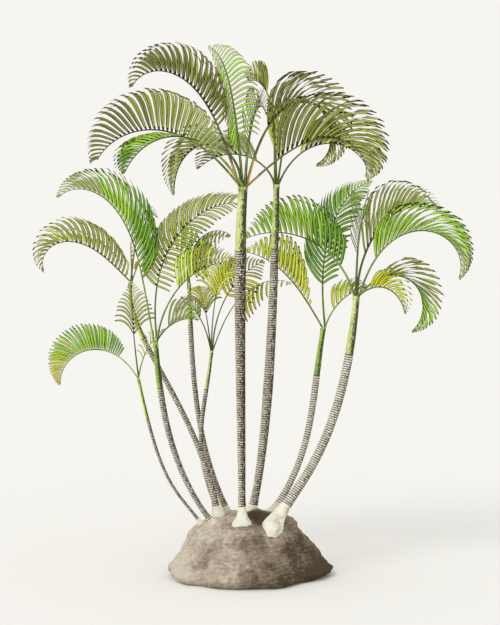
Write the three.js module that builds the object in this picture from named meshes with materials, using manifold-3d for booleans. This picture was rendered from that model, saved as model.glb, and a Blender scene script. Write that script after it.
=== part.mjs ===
// Areca palm: a clump of nine ringed canes that rise and lean out of one root ball of earth.
// Each cane carries a waxy crownshaft and a crown of arching feathered fronds.
// Millimetres, Z up, origin under the middle of the root ball, which stands on its flat underside.
import * as THREE from "three";
import Module from "manifold-3d";

const wasm = await Module();
wasm.setup();

// Root ball
const BALL_WIDTH = 1390;
const BALL_DEPTH = 1220;
const BALL_HEIGHT = 545;
const BALL_SIDES = 40;
// Rings from the underside to the top: share of the plan, share of the height.
const BALL_RINGS = [
  [0.92, 0],
  [1.0, 0.11],
  [0.975, 0.18],
  [0.88, 0.3],
  [0.775, 0.5],
  [0.7, 0.67],
  [0.6, 0.81],
  [0.46, 0.92],
  [0.28, 0.98],
  [0.12, 1.0],
];
// Lobes of the outline: how many go round, how deep they are, where the first one points at the foot, and
// how far they turn on the way up (degrees).
const BALL_LOBES = [
  [2, 0.03, 60, -40],
  [3, 0.035, 20, 35],
  [5, 0.035, 75, -50],
  [9, 0.02, 10, 60],
];
const HOLLOW = { x: 75, y: -130, radius: 75, depth: 34 };

// Canes
const CLEARANCE = 0.3;
const SINK = 110;
const CANE_SIDES = 10;
const CANE_RINGS = 12;
const RING_CROWDING = 1.6;
const FLARE_HEIGHT = 75;
const SHAFT_RINGS = 6;
const SHAFT_SWELL = 0.16;
const CROWN_SHARE = 0.82;
// One row a cane, from left to right. Foot on the ball, then two points that draw the curve, then the crown.
// Girth holds the radius at the foot, half way and at the top, and shaft the crownshaft's length.
const CANES = [
  {
    foot: [-350, -20],
    rise: [-585, -24, 745],
    neck: [-725, -120, 710],
    crown: [-917, -180, 1727],
    girth: [13, 13, 14],
    shaft: 370,
    flare: 1.35,
  },
  {
    foot: [-240, -120],
    rise: [-635, -130, 860],
    neck: [-730, -290, 1440],
    crown: [-767, -380, 2059],
    girth: [21, 24, 26],
    shaft: 415,
    flare: 1.4,
  },
  {
    foot: [-245, 60],
    rise: [-360, 65, 1415],
    neck: [-1085, 220, 2015],
    crown: [-991, 280, 2481],
    girth: [25, 23, 21],
    shaft: 515,
    flare: 1.8,
  },
  {
    foot: [-120, 260],
    rise: [-445, 265, 1010],
    neck: [-480, 480, 1575],
    crown: [-506, 640, 2422],
    girth: [25, 22, 21],
    shaft: 370,
    flare: 1.7,
  },
  {
    foot: [-195, 165],
    rise: [-540, 170, 1095],
    neck: [-355, 280, 1340],
    crown: [-312, 360, 1873],
    girth: [19, 19, 18],
    shaft: 340,
    flare: 1.4,
  },
  {
    foot: [-50, -230],
    rise: [-50, -225, 1425],
    neck: [-90, -260, 2570],
    crown: [-41, -300, 3340],
    girth: [26, 38, 48],
    shaft: 545,
    flare: 3.3,
  },
  {
    foot: [0, 100],
    rise: [175, 95, 925],
    neck: [220, 140, 2410],
    crown: [239, 170, 3314],
    girth: [28, 41, 32],
    shaft: 550,
    flare: 1.7,
  },
  {
    foot: [145, 130],
    rise: [575, 150, 1020],
    neck: [525, 300, 1360],
    crown: [645, 430, 2070],
    girth: [25, 27, 28],
    shaft: 430,
    flare: 1.5,
  },
  {
    foot: [190, -240],
    rise: [230, -200, 705],
    neck: [790, 20, 845],
    crown: [916, 150, 2371],
    girth: [34, 37, 36],
    shaft: 505,
    flare: 2.6,
  },
];

// Fronds
const PETIOLE_SHARE = 0.3;
const PETIOLE_RINGS = 5;
const LEAFLET_PITCH = 40;
const LEAFLET_SWEEP = [24, 66];
const LEAFLET_LIFT = [55, 42];
const SEAT_SPACING = 44;
const LEAFLET_MARGIN = 1.2;
const CUT_BACKS = [1, 0.82, 0.64, 0.46, 0.3];
const LEAFLET_PROFILE = [0.2, 0.95];
const LEAFLET_FULLNESS = 0.8;
const RIB_SHARE = 0.25;
const RIB_LEAST = 1.6;
const RIB_TIP_SHARE = 0.34;
const RIB_STEPS = 200;
const LAST_PAIR = 0.985;
const SEAT_REACH = 0.66;
const GROUP_SLIMMING = 0.84;
const NO_OVERLAP = 1e-6;
const LEAST_PAIRS = 4;
const SEAT_ROUNDS = 200;
// One row a frond. Heading is its direction in plan (0 right, 90 back), and rib angles are from upright,
// first at the crown and then at the tip, with a bend that falls later the larger its exponent is.
// Bare is the petiole's share of the length. A split frond arches round a wide gap and is two pieces that
// meet there, and fronds of one group spring from one seat on the crown and are one piece.
const FRONDS = [
  { cane: 6, name: "high_left", tone: "dark_olive", heading: 160,
    start: 20, end: 154, bend: 2.99, length: 1550, leaflet: 400, split: 0.66 },
  { cane: 6, name: "broad_left", tone: "olive", heading: 192,
    start: 39, end: 151, bend: 1.74, length: 1460, leaflet: 460, split: 0.62, bare: 0.26 },
  { cane: 6, name: "under_left", tone: "bright_green", heading: 218,
    start: 37, end: 152, bend: 1.52, length: 1470, leaflet: 330, bare: 0.34 },
  { cane: 6, name: "upright", tone: "bright_green", heading: 112,
    start: 15, end: 88, bend: 2.97, length: 1390, leaflet: 360 },
  { cane: 6, name: "drooping_left", tone: "olive", heading: 140,
    start: -8, end: 184, bend: 0.82, length: 1190, leaflet: 260, bare: 0.34 },
  { cane: 6, name: "curled_right", tone: "dark_olive", heading: 40,
    start: 19, end: 255, bend: 1.99, length: 1770, leaflet: 385, split: 0.6 },
  { cane: 6, name: "broad_right", tone: "pale_olive", heading: -12,
    start: 48, end: 197, bend: 2.65, length: 1340, leaflet: 480, split: 0.64, bare: 0.26 },
  { cane: 6, name: "back", tone: "deep_green", heading: 78,
    start: 16, end: 130, bend: 1.6, length: 1220, leaflet: 380 },
  { cane: 7, name: "upright", tone: "olive", heading: 138,
    start: 1, end: 118, bend: 4.6, length: 1030, leaflet: 260, bare: 0.66 },
  { cane: 7, name: "left", tone: "olive", heading: 165,
    start: 11, end: 135, bend: 0.8, length: 810, leaflet: 280 },
  { cane: 7, name: "right", tone: "dark_olive", heading: 12,
    start: 23, end: 164, bend: 1.29, length: 1040, leaflet: 380 },
  { cane: 7, name: "inner", tone: "yellow_green", heading: 60,
    start: 16, end: 45, bend: 2.72, length: 700, leaflet: 320 },
  { cane: 7, name: "back", tone: "bright_green", heading: 92,
    start: 20, end: 140, bend: 1.5, length: 1150, leaflet: 380 },
  { cane: 2, name: "high_left", tone: "deep_green", heading: 165,
    start: 10, end: 138, bend: 3.54, length: 1720, leaflet: 450 },
  { cane: 2, name: "high_right", tone: "olive", heading: 20,
    start: -6, end: 87, bend: 1.5, length: 1480, leaflet: 330, group: "right" },
  { cane: 2, name: "front_right", tone: "yellow_green", heading: -35,
    start: 9, end: 88, bend: 1.02, length: 1170, leaflet: 330, bare: 0.2 },
  { cane: 2, name: "low_right", tone: "olive", heading: 50,
    start: 43, end: 109, bend: 0.93, length: 560, leaflet: 250, group: "right" },
  { cane: 1, name: "left", tone: "deep_green", heading: 190,
    start: 31, end: 184, bend: 1.37, length: 910, leaflet: 330, split: 0.56, bare: 0.18 },
  { cane: 1, name: "upright", tone: "yellow_green", heading: 115,
    start: 20, end: 1, bend: 0.99, length: 800, leaflet: 280, group: "upright", bare: 0.2 },
  { cane: 1, name: "right", tone: "yellow_green", heading: 40,
    start: 14, end: 64, bend: 1.36, length: 480, leaflet: 180, group: "upright" },
  { cane: 3, name: "left", tone: "olive", heading: 175,
    start: 45, end: 204, bend: 2.6, length: 1020, leaflet: 330, split: 0.6, bare: 0.14 },
  { cane: 3, name: "spear", tone: "yellow", heading: 110,
    start: 4, end: 8, bend: 1, length: 330, leaflet: 60, group: "spears", bare: 0.4 },
  { cane: 3, name: "short_spear", tone: "yellow", heading: 30,
    start: 20, end: 30, bend: 1, length: 200, leaflet: 40, group: "spears", bare: 0.5 },
  { cane: 3, name: "back", tone: "deep_green", heading: 72,
    start: 15, end: 120, bend: 1.6, length: 950, leaflet: 330 },
  { cane: 4, name: "left", tone: "yellow_green", heading: 205,
    start: -5, end: 229, bend: 2.39, length: 540, leaflet: 270, bare: 0.2 },
  { cane: 4, name: "right", tone: "yellow_green", heading: 30,
    start: -8, end: 130, bend: 1.45, length: 740, leaflet: 270, group: "right", bare: 0.2 },
  { cane: 4, name: "back", tone: "yellow_green", heading: 105,
    start: 12, end: 130, bend: 1.6, length: 850, leaflet: 300, group: "right" },
  { cane: 5, name: "far_left", tone: "pale_olive", heading: 150,
    start: 13, end: 60, bend: 1.37, length: 540, leaflet: 210, group: "left" },
  { cane: 5, name: "left", tone: "pale_olive", heading: 110,
    start: 18, end: 48, bend: 1.48, length: 600, leaflet: 230, group: "left" },
  { cane: 5, name: "middle", tone: "pale_olive", heading: 65,
    start: 6, end: 61, bend: 2, length: 820, leaflet: 260, group: "left" },
  { cane: 5, name: "right", tone: "yellow", heading: 30,
    start: 3, end: 72, bend: 1.21, length: 950, leaflet: 290, group: "right" },
  { cane: 5, name: "far_right", tone: "yellow", heading: 5,
    start: 20, end: 114, bend: 2.07, length: 1000, leaflet: 290, group: "right" },
  { cane: 8, name: "left", tone: "yellow_green", heading: 160,
    start: 32, end: 84, bend: 2.11, length: 960, leaflet: 410, bare: 0.2 },
  { cane: 8, name: "high_right", tone: "bright_green", heading: 45,
    start: -8, end: 82, bend: 1.68, length: 1500, leaflet: 380, group: "right", bare: 0.24 },
  { cane: 8, name: "low_right", tone: "bright_green", heading: 15,
    start: 20, end: 82, bend: 1.19, length: 520, leaflet: 200, group: "right" },
  { cane: 9, name: "left", tone: "bright_green", heading: 166,
    start: 15, end: 114, bend: 1.02, length: 1190, leaflet: 470, bare: 0.22 },
  { cane: 9, name: "high_right", tone: "dark_olive", heading: 50,
    start: -4, end: 117, bend: 0.8, length: 1590, leaflet: 370, bare: 0.22 },
  { cane: 9, name: "broad_right", tone: "bright_green", heading: -15,
    start: 19, end: 203, bend: 1.8, length: 1440, leaflet: 360, split: 0.56, bare: 0.24 },
  { cane: 9, name: "drooping_right", tone: "deep_green", heading: 25,
    start: 43, end: 235, bend: 1.31, length: 1060, leaflet: 270, split: 0.5, bare: 0.22 },
  { cane: 9, name: "low_front", tone: "yellow_green", heading: -45,
    start: 56, end: 168, bend: 1.5, length: 650, leaflet: 210, bare: 0.24 },
  { cane: 9, name: "back", tone: "olive", heading: 82,
    start: 14, end: 135, bend: 1.6, length: 1180, leaflet: 370 },
];

const TONES = {
  dark_olive: 0x4d5428,
  olive: 0x7f883e,
  pale_olive: 0x9ba566,
  bright_green: 0x6fae3c,
  deep_green: 0x41702a,
  yellow_green: 0xa9b840,
  yellow: 0xb8a832,
};
const EARTH = { color: 0x74685a, roughness: 0.97 };
const CANE_BARK = { color: 0x766b5c, roughness: 0.82 };
const SHAFT_WAX = { color: 0xa9bd78, roughness: 0.45 };
const LEAF_ROUGHNESS = 0.5;

const part = new THREE.Group();
part.name = "areca_palm";

const radians = THREE.MathUtils.degToRad;
const lerp = THREE.MathUtils.lerp;
const vector = (x, y, z) => new THREE.Vector3(x, y, z);

// Corners and faces of a closed body that grows ring by ring.
class Body {
  constructor() {
    this.corners = [];
    this.faces = [];
  }

  corner(point) {
    this.corners.push(point);
    return this.corners.length - 1;
  }

  face(a, b, c) {
    this.faces.push([a, b, c]);
  }

  quad(a, b, c, d) {
    this.face(a, b, c);
    this.face(a, c, d);
  }

  spike(a, b, c, d, point) {
    const tip = this.corner(point);
    this.face(a, b, tip);
    this.face(b, c, tip);
    this.face(c, d, tip);
    this.face(d, a, tip);
  }

  solid() {
    return new wasm.Manifold(
      new wasm.Mesh({
        numProp: 3,
        vertProperties: new Float32Array(this.corners.flatMap((p) => p.toArray())),
        triVerts: new Uint32Array(this.faces.flat()),
      }),
    );
  }
}

// Adds a finished solid to the part as a named mesh in its own material.
function addPiece(name, solid, finish) {
  const mesh = solid.getMesh();
  const geometry = new THREE.BufferGeometry();
  geometry.setAttribute("position", new THREE.BufferAttribute(Float32Array.from(mesh.vertProperties), 3));
  geometry.setIndex(new THREE.BufferAttribute(Uint32Array.from(mesh.triVerts), 1));
  geometry.computeVertexNormals();
  const material = new THREE.MeshStandardMaterial({ ...finish, metalness: 0 });
  const piece = new THREE.Mesh(geometry, material);
  piece.name = name;
  part.add(piece);
}

// Joins rings of corners into a closed tube whose ends are flat.
function closedTube(rings) {
  const body = new Body();
  const sides = rings[0].length;
  const indices = rings.map((ring) => ring.map((point) => body.corner(point)));
  for (let r = 0; r + 1 < rings.length; r += 1) {
    for (let s = 0; s < sides; s += 1) {
      const next = (s + 1) % sides;
      body.quad(indices[r][s], indices[r][next], indices[r + 1][next], indices[r + 1][s]);
    }
  }
  const last = indices[indices.length - 1];
  for (let s = 1; s + 1 < sides; s += 1) {
    body.face(indices[0][0], indices[0][s + 1], indices[0][s]);
    body.face(last[0], last[s], last[s + 1]);
  }
  return body.solid();
}

// Root ball: how far its outline lies from the middle in one direction.
function ballReach(angle, rise) {
  let reach = 1;
  for (const [count, depth, phase, turn] of BALL_LOBES) {
    reach += depth * Math.cos(count * (angle - radians(phase + turn * rise)));
  }
  return reach;
}

function ballPoint(angle, share, rise) {
  const reach = share * lerp(1, ballReach(angle, rise), share);
  const x = (reach * BALL_WIDTH * Math.cos(angle)) / 2;
  const y = (reach * BALL_DEPTH * Math.sin(angle)) / 2;
  const away = Math.hypot(x - HOLLOW.x, y - HOLLOW.y) / HOLLOW.radius;
  const dip = rise > 0 ? HOLLOW.depth * Math.exp(-away * away) : 0;
  return vector(x, y, rise * BALL_HEIGHT - dip);
}

// Height of the ball's surface over one place in plan.
function ballHeight(x, y) {
  const angle = Math.atan2(y / BALL_DEPTH, x / BALL_WIDTH);
  const share = Math.hypot((2 * x) / BALL_WIDTH, (2 * y) / BALL_DEPTH);
  for (let i = BALL_RINGS.length - 1; i > 1; i -= 1) {
    const [inner, high] = BALL_RINGS[i];
    const [outer, low] = BALL_RINGS[i - 1];
    const innerShare = inner * lerp(1, ballReach(angle, high), inner);
    const outerShare = outer * lerp(1, ballReach(angle, low), outer);
    if (share <= outerShare) {
      const between = Math.max(0, (share - innerShare) / (outerShare - innerShare));
      return lerp(high, low, between) * BALL_HEIGHT;
    }
  }
  return 0;
}

function makeBall() {
  const rings = BALL_RINGS.map(([share, rise]) => {
    const ring = [];
    for (let s = 0; s < BALL_SIDES; s += 1) {
      ring.push(ballPoint((2 * Math.PI * s) / BALL_SIDES, share, rise));
    }
    return ring;
  });
  return closedTube(rings);
}

// Cane axis, its radius along the way, and rings square to it.
function caneAxis(cane) {
  const [x, y] = cane.foot;
  return new THREE.CubicBezierCurve3(
    vector(x, y, ballHeight(x, y) - SINK),
    vector(...cane.rise),
    vector(...cane.neck),
    vector(...cane.crown),
  );
}

function ringAt(curve, along, radius, shift = 0) {
  const centre = curve.getPointAt(along);
  const ahead = curve.getTangentAt(along);
  const side = vector(0, 1, 0).cross(ahead).normalize();
  const other = ahead.clone().cross(side);
  const ring = [];
  for (let s = 0; s < CANE_SIDES; s += 1) {
    const turn = (2 * Math.PI * s) / CANE_SIDES;
    ring.push(
      centre
        .clone()
        .addScaledVector(ahead, shift)
        .addScaledVector(side, radius * Math.cos(turn))
        .addScaledVector(other, radius * Math.sin(turn)),
    );
  }
  return ring;
}

function caneRadius(cane, share, above) {
  const [foot, middle, top] = cane.girth;
  const plain = share < 0.5 ? lerp(foot, middle, 2 * share) : lerp(middle, top, 2 * share - 1);
  const spread = Math.max(0, above) / FLARE_HEIGHT;
  return plain * (1 + (cane.flare - 1) * Math.exp(-spread * spread));
}

function makeCane(cane, grow) {
  const curve = caneAxis(cane);
  const whole = curve.getLength();
  const end = 1 - cane.shaft / whole;
  const rings = [];
  for (let r = 0; r < CANE_RINGS; r += 1) {
    const share = (r / (CANE_RINGS - 1)) ** RING_CROWDING;
    const along = share * end;
    const above = along * whole - SINK;
    const shift = r === 0 ? -grow : 0;
    const radius = caneRadius(cane, share, above) + grow / Math.cos(Math.PI / CANE_SIDES);
    rings.push(ringAt(curve, along, radius, shift));
  }
  return closedTube(rings);
}

// Crownshaft: a smooth sleeve that swells just above the cane and narrows to the crown.
function makeShaft(cane) {
  const curve = caneAxis(cane);
  const whole = curve.getLength();
  const start = 1 - (cane.shaft - CLEARANCE) / whole;
  const rings = [];
  for (let r = 0; r < SHAFT_RINGS; r += 1) {
    const share = r / (SHAFT_RINGS - 1);
    const swell = SHAFT_SWELL * Math.sin(Math.PI * Math.min(1, 2 * share));
    const radius = cane.girth[2] * (1 + swell + (CROWN_SHARE - 1) * share);
    rings.push(ringAt(curve, lerp(start, 1, share), radius));
  }
  return closedTube(rings);
}

function crownRadius(cane) {
  return cane.girth[2] * CROWN_SHARE;
}

// Frond rib: where its middle runs and which way it faces, worked out in small steps from the crown.
function ribAxis(frond, cane, seat) {
  const heading = radians(frond.heading);
  const stance = radians(seat);
  const curve = caneAxis(cane);
  const up = curve.getTangentAt(1);
  const level = vector(Math.cos(heading), Math.sin(heading), 0);
  const seatOut = vector(Math.cos(stance), Math.sin(stance), 0).projectOnPlane(up).normalize();
  const position = vector(...cane.crown)
    .addScaledVector(up, CLEARANCE)
    .addScaledVector(seatOut, crownRadius(cane) * SEAT_REACH);
  const stations = [];
  for (let i = 0; i <= RIB_STEPS; i += 1) {
    const along = i / RIB_STEPS;
    const angle = radians(lerp(frond.start, frond.end, along ** frond.bend));
    const ahead = level.clone().multiplyScalar(Math.sin(angle));
    ahead.z = Math.cos(angle);
    stations.push({ position: position.clone(), ahead });
    position.addScaledVector(ahead, frond.length / RIB_STEPS);
  }
  const left = vector(0, 0, 1).cross(level);
  return { stations, left, up, seatOut };
}

function stationAt(axis, along) {
  const exact = along * (axis.stations.length - 1);
  const index = Math.min(axis.stations.length - 2, Math.floor(exact));
  const a = axis.stations[index];
  const b = axis.stations[index + 1];
  const ahead = a.ahead.clone().lerp(b.ahead, exact - index).normalize();
  return {
    position: a.position.clone().lerp(b.position, exact - index),
    ahead,
    normal: ahead.clone().cross(axis.left),
  };
}

// Three corners of the rib's section: its upper edge, then its left and right lower edges.
function ribSection(position, normal, left, half) {
  return [
    position.clone().addScaledVector(normal, half),
    position.clone().addScaledVector(left, half).addScaledVector(normal, -half / 2),
    position.clone().addScaledVector(left, -half).addScaledVector(normal, -half / 2),
  ];
}

function leafletLength(frond, share) {
  return frond.leaflet * Math.sin(Math.PI * lerp(...LEAFLET_PROFILE, share)) ** LEAFLET_FULLNESS;
}

// Where each leaflet would end, with its root on the rib between two sections.
function leafletTip(frond, station, left, share, side, keep) {
  const sweep = radians(lerp(...LEAFLET_SWEEP, share));
  const lift = radians(lerp(...LEAFLET_LIFT, share));
  const across = left.clone().multiplyScalar(side * Math.cos(lift));
  across.addScaledVector(station.normal, Math.sin(lift));
  const aim = station.ahead.clone().multiplyScalar(Math.sin(sweep));
  aim.addScaledVector(across, Math.cos(sweep));
  return station.position.clone().addScaledVector(aim, keep * leafletLength(frond, share));
}

function ribStations(frond) {
  const bare = frond.bare ?? PETIOLE_SHARE;
  const stations = [];
  for (let i = 0; i < PETIOLE_RINGS; i += 1) {
    stations.push((bare * i) / PETIOLE_RINGS);
  }
  const pairs = Math.max(LEAST_PAIRS, Math.round((frond.length * (1 - bare)) / LEAFLET_PITCH));
  for (let i = 0; i <= pairs; i += 1) {
    stations.push(bare + ((1 - bare) * LAST_PAIR * i) / pairs);
  }
  return { stations, pairs };
}

// What a frond is made from: its rib, the stations along it and how thick it starts.
function frondPlan(frond, seat) {
  const cane = CANES[frond.cane - 1];
  const { stations, pairs } = ribStations(frond);
  const first = FRONDS.find((row) => row.cane === frond.cane && row.group === frond.group);
  const slim = frond.group && first !== frond ? GROUP_SLIMMING : 1;
  const thick = slim * (crownRadius(cane) * RIB_SHARE + RIB_LEAST);
  return { frond, axis: ribAxis(frond, cane, seat), stations, pairs, thick };
}

function planSection(plan, r, grow, shift) {
  const at = stationAt(plan.axis, plan.stations[r]);
  const half = plan.thick * lerp(1, RIB_TIP_SHARE, plan.stations[r]) + grow;
  at.position.addScaledVector(at.ahead, shift);
  if (r === 0) {
    const { up, seatOut } = plan.axis;
    return ribSection(at.position, seatOut.clone().negate(), up.clone().cross(seatOut), half);
  }
  return ribSection(at.position, at.normal, plan.axis.left, half);
}

function tipOf(plan, pair, side, keep) {
  const r = pair + PETIOLE_RINGS;
  const middle = stationAt(plan.axis, (plan.stations[r] + plan.stations[r + 1]) / 2);
  return leafletTip(plan.frond, middle, plan.axis.left, (pair + 0.5) / plan.pairs, side, keep);
}

// One stretch of the frond as a closed body. keeps tells how much of each leaflet stands, left and right.
function stretchSolid(plan, keeps, first, last) {
  const body = new Body();
  const rings = [];
  for (let r = first; r <= last; r += 1) {
    const shift = r === first && first > 0 ? CLEARANCE : 0;
    rings.push(planSection(plan, r, 0, shift).map((point) => body.corner(point)));
  }
  const [top, left, right] = rings[0];
  body.face(top, left, right);
  for (let r = 0; r + 1 < rings.length; r += 1) {
    const [t0, l0, r0] = rings[r];
    const [t1, l1, r1] = rings[r + 1];
    const pair = first + r - PETIOLE_RINGS;
    const [keepLeft, keepRight] = pair >= 0 ? keeps[pair] : [0, 0];
    body.quad(r0, l0, l1, r1);
    if (keepLeft > 0) {
      body.spike(l0, t0, t1, l1, tipOf(plan, pair, 1, keepLeft));
    } else {
      body.quad(l0, t0, t1, l1);
    }
    if (keepRight > 0) {
      body.spike(t0, r0, r1, t1, tipOf(plan, pair, -1, keepRight));
    } else {
      body.quad(t0, r0, r1, t1);
    }
  }
  const [endTop, endLeft, endRight] = rings[rings.length - 1];
  if (last < plan.stations.length - 1) {
    body.face(endTop, endRight, endLeft);
  } else {
    const tip = body.corner(stationAt(plan.axis, 1).position);
    body.face(endLeft, endTop, tip);
    body.face(endTop, endRight, tip);
    body.face(endRight, endLeft, tip);
  }
  return body.solid();
}

// The frond's solids with their names: one, or the inner and outer part of a split one.
function frondSolids(plan, keeps) {
  const { cane, name, split } = plan.frond;
  const end = plan.stations.length - 1;
  const title = `frond_${cane}_${name}`;
  if (!split) {
    return [{ name: title, solid: stretchSolid(plan, keeps, 0, end) }];
  }
  const middle = plan.stations.findIndex((along) => along >= split);
  return [
    { name: `${title}_inner`, solid: stretchSolid(plan, keeps, 0, middle) },
    { name: `${title}_outer`, solid: stretchSolid(plan, keeps, middle, end) },
  ];
}

// A leaflet by itself, a little larger than life, to try it against what already stands.
function leafletProbe(plan, pair, side, keep) {
  const r = pair + PETIOLE_RINGS;
  const tip = tipOf(plan, pair, side, keep);
  const root = stationAt(plan.axis, plan.stations[r]).position;
  tip.addScaledVector(tip.clone().sub(root).normalize(), 2 * LEAFLET_MARGIN);
  const body = new Body();
  const [[t0, l0, r0], [t1, l1, r1]] = [
    planSection(plan, r, LEAFLET_MARGIN, -LEAFLET_MARGIN),
    planSection(plan, r + 1, LEAFLET_MARGIN, LEAFLET_MARGIN),
  ];
  const base = side > 0 ? [l0, t0, t1, l1] : [t0, r0, r1, t1];
  const [a, b, c, d] = base.map((point) => body.corner(point));
  body.quad(a, d, c, b);
  body.spike(a, b, c, d, tip);
  return body.solid();
}

function boxesMeet(a, b) {
  return [0, 1, 2].every((i) => a.min[i] <= b.max[i] && b.min[i] <= a.max[i]);
}

function fits(probe, standing, own) {
  const box = probe.boundingBox();
  return standing.every((other) => {
    if (other.owner === own || !boxesMeet(box, other.box)) {
      return true;
    }
    const shared = other.solid.intersect(probe);
    const clear = shared.volume() < NO_OVERLAP;
    shared.delete();
    return clear;
  });
}

// Each leaflet is cut back, or left out, where its full length would touch a cane or another frond.
function chooseKeeps(plan, standing) {
  const keeps = [];
  for (let pair = 0; pair < plan.pairs; pair += 1) {
    keeps.push(
      [1, -1].map((side) => {
        for (const keep of CUT_BACKS) {
          const probe = leafletProbe(plan, pair, side, keep);
          const clear = fits(probe, standing, plan.frond);
          probe.delete();
          if (clear) {
            return keep;
          }
        }
        return 0;
      }),
    );
  }
  return keeps;
}

// Petioles stand round the crown where their fronds head, moved along where two would stand too close.
function seatsOf(caneNumber) {
  const groups = new Map();
  for (const frond of FRONDS.filter((row) => row.cane === caneNumber)) {
    const key = frond.group ?? frond.name;
    groups.set(key, [...(groups.get(key) ?? []), frond]);
  }
  const middle = (rows) => rows.reduce((sum, row) => sum + row.heading, 0) / rows.length;
  const seats = [...groups.values()].map((rows) => ({ rows, angle: middle(rows) }));
  seats.sort((a, b) => a.angle - b.angle);
  const spacing = Math.min(SEAT_SPACING, 360 / seats.length);
  for (let round = 0; round < SEAT_ROUNDS; round += 1) {
    seats.forEach((seat, i) => {
      const next = seats[(i + 1) % seats.length];
      const wrap = i + 1 === seats.length ? 360 : 0;
      const lack = spacing - (next.angle + wrap - seat.angle);
      if (lack > 0 && next !== seat) {
        seat.angle -= lack / 2;
        next.angle += lack / 2;
      }
    });
  }
  return seats.flatMap(({ rows, angle }) => rows.map((frond) => [frond, angle]));
}

const canes = CANES.map((cane) => makeCane(cane, 0));
const shafts = CANES.map((cane) => makeShaft(cane));
let ball = makeBall();
for (const cane of CANES) {
  ball = ball.subtract(makeCane(cane, CLEARANCE));
}
addPiece("root_ball", ball, EARTH);
canes.forEach((solid, i) => addPiece(`cane_${i + 1}`, solid, CANE_BARK));
shafts.forEach((solid, i) => addPiece(`crownshaft_${i + 1}`, solid, SHAFT_WAX));

const seats = new Map(CANES.flatMap((_, i) => seatsOf(i + 1)));
const plans = FRONDS.map((frond) => frondPlan(frond, seats.get(frond)));
const placed = (solid, owner) => ({ solid, box: solid.boundingBox(), owner });
let standing = [...canes, ...shafts].map((solid) => placed(solid, null));
for (const plan of plans) {
  const keeps = new Array(plan.pairs).fill([0, 0]);
  standing.push(...frondSolids(plan, keeps).map(({ solid }) => placed(solid, plan.frond)));
}
const groups = new Map();
for (const plan of plans) {
  const { frond } = plan;
  const solids = frondSolids(plan, chooseKeeps(plan, standing));
  standing = standing.filter((other) => other.owner !== frond);
  standing.push(...solids.map(({ solid }) => placed(solid, frond)));
  for (const { name, solid } of solids) {
    const key = frond.group ? `fronds_${frond.cane}_${frond.group}` : name;
    const joined = groups.get(key);
    groups.set(key, { solid: joined ? joined.solid.add(solid) : solid, tone: joined?.tone ?? frond.tone });
  }
}
for (const [name, { solid, tone }] of groups) {
  addPiece(name, solid, { color: TONES[tone], roughness: LEAF_ROUGHNESS });
}

export default part;
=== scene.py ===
"""Looks of an areca palm: ringed canes, waxy crownshafts and arching feathered fronds on a root ball.

Metres, Z up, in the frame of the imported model. Canes, fronds and leaflets grow by the rule of the part's own
source, written again here in millimetres, and are carried on to finer, curved leaflets within the same reach.
"""

import logging
import math
from collections.abc import Callable, Iterable, Iterator, Sequence
from contextlib import contextmanager
from dataclasses import dataclass, field
from enum import Enum

import bmesh
import bpy
import numpy as np
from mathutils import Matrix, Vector


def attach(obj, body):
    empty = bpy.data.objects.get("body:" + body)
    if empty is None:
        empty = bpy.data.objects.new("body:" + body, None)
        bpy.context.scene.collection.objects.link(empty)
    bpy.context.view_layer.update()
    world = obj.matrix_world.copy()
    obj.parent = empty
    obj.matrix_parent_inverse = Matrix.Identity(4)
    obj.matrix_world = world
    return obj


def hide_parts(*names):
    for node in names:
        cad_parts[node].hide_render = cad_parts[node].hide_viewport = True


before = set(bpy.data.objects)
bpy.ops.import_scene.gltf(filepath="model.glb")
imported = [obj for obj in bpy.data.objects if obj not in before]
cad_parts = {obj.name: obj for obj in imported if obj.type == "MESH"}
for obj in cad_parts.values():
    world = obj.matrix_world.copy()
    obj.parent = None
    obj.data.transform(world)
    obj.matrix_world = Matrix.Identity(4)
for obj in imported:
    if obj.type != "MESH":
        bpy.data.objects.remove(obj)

LOG = logging.getLogger("areca_palm")
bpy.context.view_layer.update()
MM = 0.001
UP = np.array([0.0, 0.0, 1.0])
# Metres within which an edge counts as lying on a level plane
LEVEL = 1e-5
# Names of the map that streaks follow, and of the attribute that marks the side painted in shade
WRAP = "wrap"
PAINTED_SHADE_SIDE = "weather"
# Numbers of the sockets of a Mix node that mixes colours
MIX_FIRST, MIX_SECOND, MIX_RESULT = 6, 7, 2

Array = np.ndarray
Colour = tuple[float, float, float]
Point = tuple[float, float, float]
Socket = bpy.types.NodeSocket
Sockets = bpy.types.bpy_prop_collection


class Tone(Enum):
    """Leaf tones of the clump, named as in the record's material slots."""

    DARK_OLIVE = "dark_olive"
    OLIVE = "olive"
    PALE_OLIVE = "pale_olive"
    BRIGHT_GREEN = "bright_green"
    DEEP_GREEN = "deep_green"
    YELLOW_GREEN = "yellow_green"
    YELLOW = "yellow"


class Stalk(Enum):
    """Colours of a petiole and the rib that it grows into."""

    GOLD = "gold"
    GREEN = "green"
    OLIVE = "olive"


@dataclass(frozen=True)
class Row:
    """How the leaflets of one side of a frond stand: lift and sweep in degrees, at its foot and at its tip.

    They set the outline that the leaflets reach. Lead is how far along the frond a leaflet's tip lies ahead
    of its root, droop is a share of its length, and reach makes the row shorter.
    """

    lift: tuple[float, float] = (80, 64)
    sweep: tuple[float, float] = (24, 62)
    lead: float = 0.0
    droop: float = 0.04
    reach: float = 1.0


@dataclass(frozen=True)
class Stance:
    """How the leaflets of a frond stand and bend, in a left and a right row.

    Arch and bow are shares of a leaflet's length: how far it bends back along the rib and up from it. Crest
    is where along it the arch stands highest. Pitch and width are in millimetres.
    """

    left: Row = Row()
    right: Row = Row()
    arch: float = 0.12
    crest: float = 0.55
    bow: float = 0.07
    pitch: float = 42
    width: float = 25


def paired(row: Row, **shape: float) -> Stance:
    """Stance whose two rows are alike."""
    return Stance(row, row, **shape)


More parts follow.
